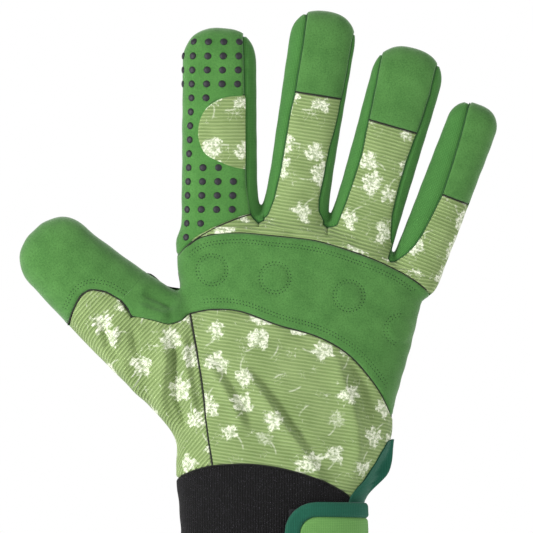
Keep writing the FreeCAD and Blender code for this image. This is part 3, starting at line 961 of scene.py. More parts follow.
# %% Back panels
cuff_lines = snapped((level_line(-37.5, 33.5, 0, 15), CUFF_TOP), (0,))
panel("wrist_elastic_back",
      [cloth_grid(loft(cuff_lines, left="outline", top="seam"), -1, 0, ("top",))],
      cuff_elastic, nodes=("wrist_elastic",))
back_lines = np.array((CUFF_TOP_RIGHT, BACK_LOW, BACK_MIDDLE, BAR_LOWER[1:]))
panel("lower_back_print",
      [cloth_grid(loft(back_lines, "seam", "", "seam", "seam"), -1, 0.1,
                  ("left", "bottom", "top"))],
      floral_rib, nodes=("lower_back_panel",), turn=-9)
bar_lines = snapped((BAR_LOWER, bar_middle, bar_high, BAR_UPPER), (-1,))
bar_lines[2:, 0] = to_edge(bar_lines[2:, 0])
panel("knuckle_bar_suede",
      [cloth_grid(loft(bar_lines, "close", "outline", "seam", "seam"), -1, 0.25,
                  ("bottom", "top"))],
      plain_suede,
      nodes=("knuckle_bar",) + tuple(f"{name}_knuckle_pad" for name in KNUCKLES), fill=0.3)
root_lines = snapped((BAR_UPPER, KNUCKLE_LINE), (0, -1))
panel("upper_back_print",
      [cloth_grid(loft(root_lines, "outline", "outline", "seam", "", linear=True), -1, 0,
                  ("bottom",))],
      floral_rib, nodes=("upper_back_panel",), turn=-6)

# %% [markdown]
# Each finger has a back, a tip cap, two narrow sides and a palm face. The seams are given in
# the finger's own frame: how far along it, and how far across. Between two fingers the side
# strips of both meet in one line that runs over the web, from the back to the palm.

# %% Seams of the fingers
SEAMS = {
    "index": {
        "right": ((1.8, 16), (4.7, 13.4), (11, 11.3), (32, 10.9), (53, 10.5), (70, 10.1),
                  (78, 9.8))},
    "middle": {
        "left": ((-0.6, -14.7), (3, -11.6), (9.6, -10), (22.5, -9), (35, -8.9), (48, -8.8),
                 (54.5, -8.1), (65, -8.1), (77.9, -8), (86, -8.3)),
        "right": ((2.3, 14.2), (7.7, 10.3), (12.6, 9.5), (23.3, 10), (34, 10.4), (44.9, 11.7),
                  (53.5, 12.0), (60, 12.6), (72, 12.9))},
    "ring": {
        "left": ((2.9, -14.2), (4.5, -11.6), (15.7, -10.4), (24.6, -9.9), (35.7, -9.5),
                 (48.5, -10.6), (57, -11.2), (69.8, -12.3), (76, -12.9)),
        "right": ((-3.4, 17.3), (4.9, 12.8), (15.1, 10.3), (25.9, 9.8), (36.8, 9.8), (47.9, 10.6),
                  (54.7, 11.3), (67.9, 11.8), (78, 11.2))},
    "little": {
        "left": ((-0.8, -9.6), (3.2, -6.6), (8, -4.4), (13, -3.1), (22.5, -2), (31.8, -1.1),
                 (45, -1.7), (60.3, -3), (69.9, -4.2))},
}
CAPS = {"middle": 55.9, "ring": 50.8, "little": 32.0}
KNOT_OF = {("index", "right"): "index", ("middle", "left"): "index", ("middle", "right"): "middle",
           ("ring", "left"): "middle", ("ring", "right"): "ring", ("little", "left"): "ring"}
NEIGHBOUR = {"index": ("index", "middle"), "middle": ("middle", "ring"), "ring": ("ring", "little")}


def outline_u(name, s):
    """How far across a finger its outline is."""
    finger = FINGERS[name]
    half, straight = finger_half(finger, s)
    past = np.clip((s - straight) / finger.tip_half, 0, 1)
    return half * (1 - past ** ROUNDNESS) ** (1 / ROUNDNESS)


def web_point(knot):
    """Where the web between two fingers reaches the outline, straight up from a knot."""
    first, second = NEIGHBOUR[knot]
    way = axes(FINGERS[first])[0] + axes(FINGERS[second])[0]
    way = way / np.linalg.norm(way)
    reach = np.arange(0.2, 30, 0.05)
    best = None
    for aside in np.linspace(-3, 3, 25):
        spots = np.array(KNOTS[knot]) + reach[:, None] * way + (aside, 0)
        open_at = np.argmax(form_gap(flat_points(spots)) > 0)
        if open_at and (best is None or open_at < best[0]):
            best = (open_at, spots[open_at])
    return best[1]


WEBS = {knot: web_point(knot) for knot in KNOTS}
print("webs:", {k: v.round(1).tolist() for k, v in WEBS.items()})


def seam_u(name, side, s):
    """How far across a finger its seam is, or its outline where there is no seam."""
    sign = -1 if side == "left" else 1
    edge = outline_u(name, s)
    if side not in SEAMS.get(name, {}):
        return sign * edge
    points = np.array(SEAMS[name][side])
    return sign * np.minimum(np.abs(np.interp(s, points[:, 0], points[:, 1])), edge)


def seam_end(name, side):
    """How far along a finger a side seam runs before it meets the outline."""
    s, u = SEAMS[name][side][-1]
    run = np.linspace(s, FINGERS[name].length, 400)
    return float(run[np.argmax(outline_u(name, run) <= abs(u))])


def closing_in(count):
    """Shares from 0 to 1 in steps that grow short towards 1, as round a fingertip."""
    return np.sin(np.pi / 2 * np.linspace(0, 1, count))


BORDER_POINTS = 60


def border(name, side, low, high, root=None):
    """(x, z) places up one side of a finger's back or palm face, from s low to s high."""
    free = side not in SEAMS.get(name, {})
    if low is None:
        low = in_finger(name, root if free else KNOTS[KNOT_OF[name, side]])[0]
    share = np.linspace(0, 1, BORDER_POINTS)
    if high >= FINGERS[name].length - 0.01:
        share = closing_in(BORDER_POINTS * 2)
    s = low + (high - low) * share
    spots = finger_place(name, s, seam_u(name, side, s))
    if free:
        return to_edge(spots)
    if root is not None:
        spots[0] = KNOTS[KNOT_OF[name, side]]
        spots = np.concatenate([[root], spots])
    return spots


FACE_WIDTH = 24.0
SIDE_POINTS = 9
FINGER_ROOTS = {"index": (0, 1), "middle": (1, 2), "ring": (2, 3), "little": (3, 4)}
PALM_ROOT_X = (-38.5, -4.8, 24.0, 52.4, 65.5)
PALM_ROOT_Z = (146.3, 146.7, 142.5, 130.9, 125.0)


def face_strip(name, low, high, side, roots=None, seams=("left", "right"), layer=0.0, **ends):
    """A finger's back or palm face between s low and s high, or up from its root line."""
    sides, sewn = ("left", "right"), SEAMS.get(name, {})
    tip = high >= FINGERS[name].length - 0.01
    edge = {s: ("seam" if s in sewn and not tip else "outline") for s in sides}
    places = roots or (None, None)
    lines = [border(name, s, None if roots else low, high, place)
             for s, place in zip(sides, places)]
    plan = ruled(*lines, **edge, width=FACE_WIDTH, tip=tip, **ends)
    rolled = [s for s in seams if s in ("top", "bottom") or s in sewn]
    return cloth_grid(plan, side, layer, rolled, 0.5)


def side_strip(name, side, low, high):
    """A finger's side between its back and palm seams, from s low (None at the web) to high."""
    sign, knot, cut = (-1 if side == "left" else 1), KNOT_OF[name, side], CUT[name]
    first, web = in_finger(name, KNOTS[knot])[0], in_finger(name, WEBS[knot])[0]
    bottom = first if low is None else low
    end = seam_end(name, side) if high is None else high
    s = np.linspace(bottom, end, int((end - bottom) / STEP) + 2)
    if low is None:
        s = np.unique(np.concatenate([s, first + np.array((0.3, 0.7))]))
    seam = finger_place(name, s, seam_u(name, side, s))
    stretch = np.where(s < cut, web + (cut - web) * (s - first) / (cut - first), s)
    edge = to_edge(finger_place(name, stretch, sign * outline_u(name, stretch)))
    if low is None:
        seam[0], edge[0] = KNOTS[knot], WEBS[knot]
    share = closing_in(SIDE_POINTS)[None, :, None]
    half = seam[:, None] * (1 - share) + edge[:, None] * share
    plan = np.concatenate([half, half[:, -2::-1]], 1)
    way = two_ways(SIDE_POINTS, plan)
    p, out, flat = cloth_grid(plan, way, -0.1, ("left", "right"), 0.3)
    steps = np.linalg.norm(np.diff(p, axis=1), axis=-1)
    around = np.concatenate([np.zeros((len(s), 1)), np.cumsum(steps, 1)], 1)
    return p, out, np.stack([around, np.repeat(s[:, None], plan.shape[1], 1)], -1)


def two_ways(turn_at, plan):
    """-1 for the columns of a plan that lie on the back, 1 for those past the turn."""
    ways = np.where(np.arange(plan.shape[1]) < turn_at, -1, 1)
    return ways[None, :] * np.ones((len(plan), 1))


print("side seams of the fingers:", sum(len(sides) for sides in SEAMS.values()))

# %% [markdown]
# One loop makes all four fingers. The index finger differs: dotted suede wraps round its outer
# side, and a curved seam ends it over the print of the hand. Every finger is cut in a lower and
# an upper part.

# %% Finger panels
INDEX_ARC = ((-12.1, -16.4), (-5.8, -10.5), (-0.8, -2.1), (2.9, 6.5), (5.0, 13.1))
INDEX_CUT = ((18, -15.8), (18, -9), (18, -1), (18, 5.5), (18, 11.1))
LOWER_NODES = {
    "index": ("index_radial_wrap_lower", "index_ulnar_fourchette_lower"),
    "middle": ("middle_radial_fourchette_lower", "middle_ulnar_fourchette_lower"),
    "ring": ("ring_radial_fourchette_lower", "ring_ulnar_fourchette_lower"),
    "little": ("little_radial_fourchette_lower", "little_ulnar_wrap_lower"),
}
for name, (a, b) in FINGER_ROOTS.items():
    length, cut, lean = FINGERS[name].length, CUT[name], -FINGERS[name].tilt
    lower, upper, is_index = f"{name}_lower", f"{name}_upper", name == "index"
    back_roots = [(ROOT_X[k], ROOT_Z[k]) for k in (a, b)]
    palm_roots = [(PALM_ROOT_X[k], PALM_ROOT_Z[k]) for k in (a, b)]
    cloth, slot = (grip_suede, "dotted_suede") if is_index else (floral_rib, "print_fabric")
    low_nodes, high_nodes = [
        (f"{name}_back_{part}",) + ((f"index_flex_inset_{part}",) if is_index else ())
        for part in ("lower", "upper")]
    if is_index:
        panel("index_root_print", [face_strip(name, None, 9.0, -1, back_roots, layer=-0.15)],
              floral_rib, lower, turn=lean)
        arc, above = on_finger(name, INDEX_ARC), on_finger(name, INDEX_CUT)
        plan = loft((arc, (arc + above) / 2, above), "outline", "seam", "seam", "")
        grid = cloth_grid(plan, -1, 0.4, ("bottom", "right"), 0.6)
    else:
        grid = face_strip(name, None, cut, -1, back_roots)
    panel(f"{name}_back_low", [grid], cloth, lower, low_nodes, turn=lean)
    if name in CAPS:
        cap = CAPS[name]
        grid = face_strip(name, cut, cap, -1, seams=("left", "right", "top"), top="seam")
        panel(f"{name}_back_high", [grid], cloth, upper, high_nodes, turn=lean)
        grid = face_strip(name, cap, length, -1, seams=("left", "right", "bottom"), bottom="seam")
        panel(f"{name}_cap", [grid], plain_suede, upper, (f"{name}_tip_cap",), turn=lean)
    else:
        grid = face_strip(name, cut, length, -1, layer=0.4 if is_index else 0)
        panel(f"{name}_back_high", [grid], cloth, upper, high_nodes, turn=lean)
    panel(f"{name}_palm_low", [face_strip(name, None, cut, 1, palm_roots)], grip_suede,
          lower, (f"{name}_palm_lower",), turn=lean)
    panel(f"{name}_palm_high", [face_strip(name, cut, length, 1)], grip_suede,
          upper, (f"{name}_palm_upper",), turn=lean)
    panel(f"{name}_sides_low", [side_strip(name, side, None, cut) for side in SEAMS[name]],
          side_cloth, lower, LOWER_NODES[name])
    panel(f"{name}_sides_high", [side_strip(name, side, cut, None) for side in SEAMS[name]],
          side_cloth, upper, (f"{name}_sides_upper",))

# %% [markdown]
# The thumb is cut differently. The print panel of the back runs up it as an arched tongue, the
# suede tip wraps round that arch, and one leg of the suede runs down as the web to the index
# finger. The palm side is one plain grip face.

# %% Thumb panels
THUMB_LEAN = 46
THUMB_CUT = CUT["thumb"]
THUMB_LENGTH = FINGERS["thumb"].length
ARCH = ((16.7, -18.7), (19.3, -12.9), (21.3, -6), (20.9, -2.8), (19.7, -0.4), (15.2, 2.8),
        (11.5, 3.9), (8, 4.7))
LEG = ((8, 4.7), (3.5, 4.2), (0, 3.0))


def thumb(points):
    """(x, z) places of (s, u) points on the thumb."""
    return finger_place("thumb", *np.asarray(points, float).T)


def across_thumb(s, *places):
    """(x, z) places straight across the thumb at s."""
    return thumb([(s, u) for u in places])


THUMB_TOP = ((-73.5, 103.1), (-67.2, 109.6), (-58.9, 118.2), (-50.4, 117.4), (-43, 115.6),
             (-37.5, 117), (-33.6, 120.4))
THUMB_MIDDLE = ((-47, 78.5), (-44, 80.3), (-41, 82.5), (-38, 84.6), (-35, 87), (-32, 90), (-29, 93))
thumb_lines = snapped((CUFF_TOP_LEFT, THUMB_MIDDLE, THUMB_TOP), (0,))
tongue_low = snapped((across_thumb(0, -19, -13, -6, 0, 3.0),
                      across_thumb(8, -19, -13, -6, 0, 4.7)), (0,))
tongue_high = snapped((across_thumb(8, -18.9, -15, -10, -5, -2, 1, 3.2, 4.7), thumb(ARCH)), (0,))
panel("thumb_back_print", [
    cloth_grid(loft(thumb_lines, "outline", "seam", "seam", ""), -1, 0.05, ("bottom", "right")),
    cloth_grid(loft(tongue_low, "outline", "seam", "", ""), -1, 0.05, ("right",)),
], floral_rib, "thumb_lower", ("thumb_back_panel", "thumb_back_lower"),
    turn=THUMB_LEAN)
panel("thumb_tongue_print", [
    cloth_grid(loft(tongue_high, "outline", "", "", "seam", linear=True), -1, 0.05, ("top",))],
    floral_rib, "thumb_upper", turn=THUMB_LEAN)
RIM = ((17, -18.9), (36, -17.6), (47, -13), (52.5, -7), (54.5, 0), (49, 12), (34, 17.4), (8, 18.8))


def thumb_rim(s, side):
    """(s, u) points on the thumb's outline."""
    return np.stack([s, side * outline_u("thumb", s)], -1)


def fan_grid():
    """Rows from the arch out to the thumb's outline, with the outline followed closely."""
    arch = curve(thumb(ARCH), np.linspace(0, len(ARCH) - 1, 90))
    left = thumb_rim(np.linspace(16.9, THUMB_LENGTH, 200), -1)
    right = thumb_rim(np.linspace(THUMB_LENGTH, 8, 240)[1:], 1)
    rim = thumb(np.concatenate([left, right]))
    total = running_length(rim)
    nearest = [np.argmin(np.linalg.norm(rim - spot, axis=-1)) for spot in thumb(RIM)]
    rim_key = total[nearest] / total[-1]
    rim_key[0], rim_key[-1] = 0, 1
    share, arch_share = np.linspace(0, 1, 110), np.linspace(0, 1, 90)
    at = np.interp(arch_share, np.linspace(0, 1, len(ARCH)), rim_key)
    at = np.interp(share, arch_share, at)
    inner = read_path(share, arch_share, arch)
    outer = to_edge(read_path(at * total[-1], total, rim))
    rows = stations(22, "seam", "outline")[:, None, None]
    return inner[None] * (1 - rows) + outer[None] * rows


panel("thumb_suede_tip", [cloth_grid(fan_grid(), -1, 0.2, ("bottom",), 0.8)],
      plain_suede, "thumb_upper", ("thumb_tip_cap",), turn=THUMB_LEAN)
gusset_low = np.concatenate([thumb(LEG), ((-50.4, 117.4), (-43, 115.6), (-37.5, 117))])
web_start = to_edge(thumb(((8, 18.8),)))
web_run = WEB_EDGE[WEB_EDGE[:, 0] > web_start[0, 0] + 1.5]
gusset_high = np.concatenate([web_start, web_run[np.linspace(0, len(web_run) - 1, 5).astype(int)]])
gusset_lines = np.array((gusset_low, gusset_high))
panel("thumb_web_suede",
      [cloth_grid(loft(gusset_lines, "", "seam", "seam", "close"), -1, 0.2, ("bottom",))],
      plain_suede, "thumb_lower", ("thumb_web_gusset", "thumb_ulnar_fourchette_lower"))

# %% [markdown]
# On its palm side the thumb is plain dotted suede in two parts, which meet at its knuckle.

# %% Thumb palm side
PALM_THUMB_LOW = ((-47, 78.5), (-44, 80.8), (-41.2, 83.1), (-38.4, 85.4), (-35.6, 87.7),
                  (-32.8, 90), (-30.05, 92.3))
PALM_THUMB_HIGH = ((-73.5, 103.1), (-66, 105), (-58, 110), (-51, 114.5), (-46, 117),
                   (-40, 118.5), (-34, 118))
palm_thumb_top = np.concatenate([across_thumb(8, -18.9, -9, 0, 10), gusset_high[[0, 3, 5]]])
palm_thumb_lines = snapped((CUFF_TOP_LEFT, PALM_THUMB_LOW, PALM_THUMB_HIGH, palm_thumb_top), (0,))
panel("thumb_palm_low",
      [cloth_grid(loft(palm_thumb_lines, "outline", "seam", "seam", "close"), 1, 0,
                  ("bottom", "right"))],
      grip_suede, "thumb_lower",
      ("palm_thumb_panel", "thumb_palm_lower", "thumb_radial_wrap_lower"), turn=THUMB_LEAN)
s_run = THUMB_CUT + (THUMB_LENGTH - THUMB_CUT) * closing_in(BORDER_POINTS * 2)
runs = [to_edge(thumb(thumb_rim(s_run, side))) for side in (-1, 1)]
panel("thumb_palm_high",
      [cloth_grid(ruled(*runs, "outline", "outline", width=36, tip=True), 1, 0, (), 0.5)],
      grip_suede, "thumb_upper", ("thumb_palm_upper", "thumb_sides_upper"),
      turn=THUMB_LEAN)

# %% [markdown]
# The palm of the hand is one grip panel above an elastic cuff. At the little-finger side the
# cuff is open: a slit, bound in teal tape, lets the hand in, and the strap closes it.

# %% Palm panels, bindings and patches
PALM_CUFF_TOP = (
    (-24.4, 56.3), (-14, 56.5), (-4, 57), (6, 57.5), (16, 58), (26, 58.5), (36, 59), (42, 59.5),
    (46, 59.8), (49, 60))
PALM_TOP_X = np.array((-38.5, -30, -18, -4.8, 9, 24, 37, 50.9, 59, 65.5))
PALM_TOP = np.stack([PALM_TOP_X, np.interp(PALM_TOP_X, PALM_ROOT_X, PALM_ROOT_Z)], -1)
palm_low = np.array(PALM_CUFF_TOP) * 0.67 + PALM_TOP * 0.33
palm_low[0] = (-30.05, 92.3)
palm_high = np.array(PALM_CUFF_TOP) * 0.2 + PALM_TOP * 0.8
palm_high[0] = WEB_CORNER
palm_near = palm_high * 0.45 + PALM_TOP * 0.55
palm_lines = snapped((PALM_CUFF_TOP, palm_low, palm_high, palm_near, PALM_TOP), (-1,))
palm_lines[3:, 0] = to_edge(palm_lines[3:, 0])
panel("palm_suede",
      [cloth_grid(loft(palm_lines, "close", "outline", "seam", "", linear=True), 1, 0,
                  ("bottom",))],
      grip_suede, nodes=("palm_panel",))
palm_cuff_top = CUFF_TOP_LEFT + PALM_CUFF_TOP[1:]
palm_cuff_lines = snapped((level_line(-37.5, 38, 0, 16), level_line(-38.2, 38.6, 38, 16),
                           palm_cuff_top), (0, -1))
panel("wrist_elastic_palm",
      [cloth_grid(loft(palm_cuff_lines, "outline", "outline", "", "seam"), 1, 0, ("top",))],
      cuff_elastic, nodes=("palm_cuff",))
hem_lines = [snapped((level_line(-37.5, right, 0.0, 15), level_line(-37.5, right, 5.5, 15)), ends)
             for right, ends in ((33.5, (0,)), (38, (0, -1)))]
panel("hem_tape", [
    cloth_grid(loft(hem_lines[0], "outline", "", "seam", "seam"), -1, 1.5, ("top",), 0.2),
    cloth_grid(loft(hem_lines[1], "outline", "outline", "seam", "seam"), 1, 1.5, ("top",), 0.2),
], cuff_elastic, nodes=("hem_binding",), thickness=0.9)

TAPE_ROUNDS = 1.6
slit_edge = np.array(((33.0, 6), (33.2, 24), (33.2, 41.5), (40.6, 52.2), (49.2, 66.5)))
slit_rim = np.array(((38.2, 6), (37.9, 24), (39.2, 42), (49.2, 54), (51.4, 67.5)))
slit_palm = np.array(((34.5, 6), (34.6, 24), (35.5, 42), (40, 52), (47.5, 66)))


def slit_grid():
    """The tape folded round the slit: from the back over the outline to the palm."""
    rows = np.linspace(0, 4, 60)
    edge, rim, palm = (curve(line, rows) for line in (slit_edge, slit_rim, slit_palm))
    share = closing_in(8)[None, :, None]
    first = edge[:, None] * (1 - share) + rim[:, None] * share
    second = palm[:, None] * (1 - share) + rim[:, None] * share
    plan = np.concatenate([first, second[:, -2::-1]], 1)
    way = two_ways(8, plan)
    p, out, flat = cloth_grid(plan, way, 0.8, (), 0.2)
    near_rim = np.concatenate([share[0, :, 0], share[0, -2::-1, 0]])
    round_edge = TAPE_ROUNDS * np.sqrt(1 - near_rim ** 2)
    p[..., 1] = way * np.maximum(np.abs(p[..., 1]), round_edge)
    return p, out, flat


panel("slit_tape", [slit_grid()], teal_tape, nodes=("slit_binding",), thickness=0.9)
loop_lines = np.array([[(x, z) for x in range(8, 21, 3)] for z in (14, 38)], float)
panel("loop_patch_pile",
      [cloth_grid(loft(loop_lines, "seam", "seam", "seam", "seam"), -1, 1.4,
                  ("left", "right", "top", "bottom"), 0.2)],
      loop_pile, nodes=("loop_patch",), thickness=0.9)

# %% [markdown]
# The wrist strap is light green brushed cloth edged with the same teal tape, rounded at its free
# end. It is sewn down at the slit.

# %% Wrist strap
STRAP_BOTTOM, STRAP_TOP, STRAP_TIP, STRAP_ROOT, STRAP_CORNER = 11.0, 41.0, 6.0, 37.0, 13.0
TAPE_WIDTH = 6.2


def strap_outline(inset):
    """Points round the strap from its lower root to its upper root, moved in by inset."""
    bottom, top, tip = STRAP_BOTTOM + inset, STRAP_TOP - inset, STRAP_TIP + inset
    corner = STRAP_CORNER - inset
    turns = [math.radians(270 - 15 * k) for k in range(7)]
    low = [(tip + corner + corner * math.cos(a), bottom + corner + corner * math.sin(a))
           for a in turns]
    high = [(x, bottom + top - z) for x, z in reversed(low)]
    run = [STRAP_ROOT - d for d in (0, 0.4, 1, 2, 4, 7, 10, 14)]
    return [(x, bottom) for x in run] + low + high + [(x, top) for x in reversed(run)]


strap_rim, strap_core = strap_outline(0), strap_outline(TAPE_WIDTH)
half = len(strap_core) // 2
core_lines = np.array((strap_core[:half], strap_core[:half - 1:-1]))
panel("strap_face",
      [cloth_grid(loft(core_lines, "", "seam", "seam", "seam", linear=True), -1, 4.5,
                  ("bottom", "top", "right"), 0.2)],
      strap_cloth, "strap", ("wrist_strap",), thickness=1.6)
panel("strap_tape",
      [cloth_grid(loft((strap_rim, strap_core), "", "", "seam", "seam", linear=True), -1, 4.95,
                  ("bottom", "top"), 0.2)],
      teal_tape, "strap", ("strap_binding",), thickness=2.1)
hook_lines = np.array([[(x, z) for x in (12, 15, 19)] for z in (17, 35)], float)
panel("hook_patch_face", [cloth_grid(loft(hook_lines), -1, 2.6, (), 0.2)],
      hook_face, "strap", ("hook_patch",), thickness=0.9)

# %% [markdown]
# Over the middle knuckle of the index finger the suede is cut out in a half moon and filled
# with the print fabric, which stretches when the finger bends. It is a panel of its own, laid
# a little below the suede's turned edge.

# %% Half-moon inset
MOON = ((23.6, 10.3), (24.6, 5), (26.5, 0), (29.9, -6.4), (35, -9.1), (40.4, -9.7), (45.5, -8.6),
        (49.6, -6.3), (52.6, -2.4), (54.4, 2), (55.1, 10.2))
moon_left = curve(on_finger("index", MOON), np.linspace(0, len(MOON) - 1, 80))
moon_right = on_finger("index", np.stack([np.linspace(MOON[0][0], MOON[-1][0], 80),
                                          np.full(80, 10.35)], -1))
panel("index_flex_inset",
      [cloth_grid(ruled(moon_left, moon_right, "seam", "seam", "seam", "seam", width=17), -1, 0.75,
                  ("left", "bottom", "top"), 0.5)],
      floral_rib, "index_upper",
      ("index_flex_inset_lower", "index_flex_inset_upper"), thickness=1.0)

# %% [markdown]
# Dots and needle holes repeat a tiny shape along the cloth, and seam cords follow a line on it:
# both are work for Geometry Nodes. One tree puts a small dome on every point of a mesh, turned
# by two directions stored on the points. The other sweeps a round section along its edges.
# Python only works out the points on the glove's form.


# %% Geometry Nodes trees
def new_tree(name, inputs):
    tree = bpy.data.node_groups.new(name, "GeometryNodeTree")
    tree.interface.new_socket("Geometry", in_out="INPUT", socket_type="NodeSocketGeometry")
    for label, kind in inputs:
        tree.interface.new_socket(label, in_out="INPUT", socket_type=kind)
    tree.interface.new_socket("Geometry", in_out="OUTPUT", socket_type="NodeSocketGeometry")
    return tree, tree.nodes.new("NodeGroupInput"), tree.nodes.new("NodeGroupOutput")


def finish_tree(tree, source, socket, start, end):
    real = tree.nodes.new("GeometryNodeRealizeInstances")
    paint = tree.nodes.new("GeometryNodeSetMaterial")
    tree.links.new(source.outputs[socket], real.inputs[0])
    tree.links.new(real.outputs[0], paint.inputs["Geometry"])
    tree.links.new(start.outputs["Material"], paint.inputs["Material"])
    tree.links.new(paint.outputs[0], end.inputs[0])


def dome_tree():
    tree, start, end = new_tree("domes_on_points", [
        ("Length", "NodeSocketFloat"), ("Width", "NodeSocketFloat"), ("Height", "NodeSocketFloat"),
        ("Segments", "NodeSocketInt"), ("Rings", "NodeSocketInt"),
        ("Material", "NodeSocketMaterial")])
    ball = tree.nodes.new("GeometryNodeMeshUVSphere")
    ball.inputs["Radius"].default_value = 0.5
    tree.links.new(start.outputs["Segments"], ball.inputs["Segments"])
    tree.links.new(start.outputs["Rings"], ball.inputs["Rings"])
    smooth = tree.nodes.new("GeometryNodeSetShadeSmooth")
    tree.links.new(ball.outputs["Mesh"], smooth.inputs["Geometry"])
    size = tree.nodes.new("ShaderNodeCombineXYZ")
    for label, axis in (("Length", "X"), ("Width", "Y"), ("Height", "Z")):
        tree.links.new(start.outputs[label], size.inputs[axis])
    turn = tree.nodes.new("FunctionNodeAxesToRotation")
    turn.primary_axis, turn.secondary_axis = "Z", "X"
    for label, socket in (("out", 0), ("along", 1)):
        named = tree.nodes.new("GeometryNodeInputNamedAttribute")
        named.data_type = "FLOAT_VECTOR"
        named.inputs["Name"].default_value = label
        tree.links.new(named.outputs["Attribute"], turn.inputs[socket])
    place = tree.nodes.new("GeometryNodeInstanceOnPoints")
    tree.links.new(start.outputs["Geometry"], place.inputs["Points"])
    tree.links.new(smooth.outputs[0], place.inputs["Instance"])
    tree.links.new(turn.outputs[0], place.inputs["Rotation"])
    tree.links.new(size.outputs[0], place.inputs["Scale"])
    finish_tree(tree, place, "Instances", start, end)
    return tree


def cord_tree():
    tree, start, end = new_tree("cord_on_edges", [
        ("Radius", "NodeSocketFloat"), ("Sides", "NodeSocketInt"),
        ("Material", "NodeSocketMaterial")])
    line = tree.nodes.new("GeometryNodeMeshToCurve")
    ring = tree.nodes.new("GeometryNodeCurvePrimitiveCircle")
    sweep = tree.nodes.new("GeometryNodeCurveToMesh")
    sweep.inputs["Fill Caps"].default_value = True
    tree.links.new(start.outputs["Geometry"], line.inputs["Mesh"])
    tree.links.new(start.outputs["Radius"], ring.inputs["Radius"])
    tree.links.new(start.outputs["Sides"], ring.inputs["Resolution"])
    tree.links.new(line.outputs[0], sweep.inputs["Curve"])
    tree.links.new(ring.outputs[0], sweep.inputs["Profile Curve"])
    smooth = tree.nodes.new("GeometryNodeSetShadeSmooth")
    tree.links.new(sweep.outputs[0], smooth.inputs["Geometry"])
    finish_tree(tree, smooth, 0, start, end)
    return tree


DOMES, CORD = dome_tree(), cord_tree()


def grown(name, verts, edges, attributes, tree, settings):
    """Runs a tree on points or edges and keeps the result as a plain mesh."""
    mesh = bpy.data.meshes.new(name + "_points")
    mesh.from_pydata([tuple(v) for v in verts], edges, [])
    for label, values in attributes.items():
        layer = mesh.attributes.new(label, "FLOAT_VECTOR", "POINT")
        layer.data.foreach_set("vector", np.asarray(values, np.float32).ravel())
    seed = bpy.data.objects.new(name + "_seed", mesh)
    scene.collection.objects.link(seed)
    modifier = seed.modifiers.new("grow", "NODES")
    modifier.node_group = tree
    for item in tree.interface.items_tree:
        if item.in_out == "INPUT" and item.name in settings:
            modifier[item.identifier] = settings[item.name]
    evaluated = seed.evaluated_get(bpy.context.evaluated_depsgraph_get())
    result = bpy.data.meshes.new_from_object(evaluated)
    for label in ("out", "along"):
        if label in result.attributes:
            result.attributes.remove(result.attributes[label])
    result.name = name
    piece = bpy.data.objects.new(name, result)
    scene.collection.objects.link(piece)
    bpy.data.objects.remove(seed)
    return piece


def domes(name, p, out, size, segments, rings, material):
    """A dome of one size (length, width, height in mm) on each point, standing outwards."""
    return grown(name, p * MM, [], {"out": out, "along": np.cross(out, (0, 1.0, 0.01))}, DOMES,
                 {"Length": size[0] * MM, "Width": size[1] * MM, "Height": size[2] * MM,
                  "Segments": segments, "Rings": rings, "Material": material})


def on_cloth(plan, side, layer):
    """Points on the cloth over (x, z) places, and the outward directions there."""
    plan = np.atleast_2d(np.asarray(plan, float))
    p = on_form(plan, side)
    out = outward(p)
    return p + out * (layer + relief(plan, side, np.abs(p[..., 1])) * 0.8)[..., None], out


print("trees made:", DOMES.name, CORD.name)

# %% [markdown]
# Grip dots are small domes of soft rubber, printed on the suede of the palm and of the index
# finger in square rows. A dot is left out where it would meet a seam.

# %% Grip dots
DOT = 3.1
DOT_PITCH = 6.3
DOT_CLEAR = 2.3
PALM_EDGE = np.array(((56.3, -24.4), (92.3, -30.05), (127.3, -36.5), (129, -44), (150, -46)))


def zone_at(x, z, side):
    """The zone that a place on the palm or back belongs to."""
    roots = (PALM_ROOT_X, PALM_ROOT_Z) if side > 0 else (ROOT_X, ROOT_Z)
    if x < np.interp(z, PALM_EDGE[:, 0], PALM_EDGE[:, 1]) - 1:
        s = in_finger("thumb", (x, z))[0]
        return "thumb_lower" if s < THUMB_CUT else "thumb_upper"
    if z > np.interp(x, *roots):
        for name in FINGER_ROOTS:
            s, u = in_finger(name, (x, z))
            if abs(u) < outline_u(name, s) + 1.5:
                return name + ("_lower" if s < CUT[name] else "_upper")
    return "hand"


def clear_of_seams(x, z):
    """Whether a palm dot at (x, z) is clear of the outline and of every seam."""
    ring = np.array([(x + DOT_CLEAR * math.cos(a), z + DOT_CLEAR * math.sin(a))
                     for a in np.linspace(0, 6.28, 9)])
    if (on_form(ring, 1)[:, 1] < 3.6).any() or z < 63:
        return False
    edge = np.interp(z, PALM_EDGE[:, 0], PALM_EDGE[:, 1])
    if abs(x - edge) < 2.6:
        return False
    for name in FINGER_ROOTS:
        s, u = in_finger(name, (x, z))
        for side in SEAMS[name]:
            bound = float(seam_u(name, side, max(s, 0)))
            if s > -4 and abs(u - bound) < 2.4:
                return False
            if s > 4 and abs(bound) < abs(u) < outline_u(name, s) and u * bound > 0:
                return False
    return True


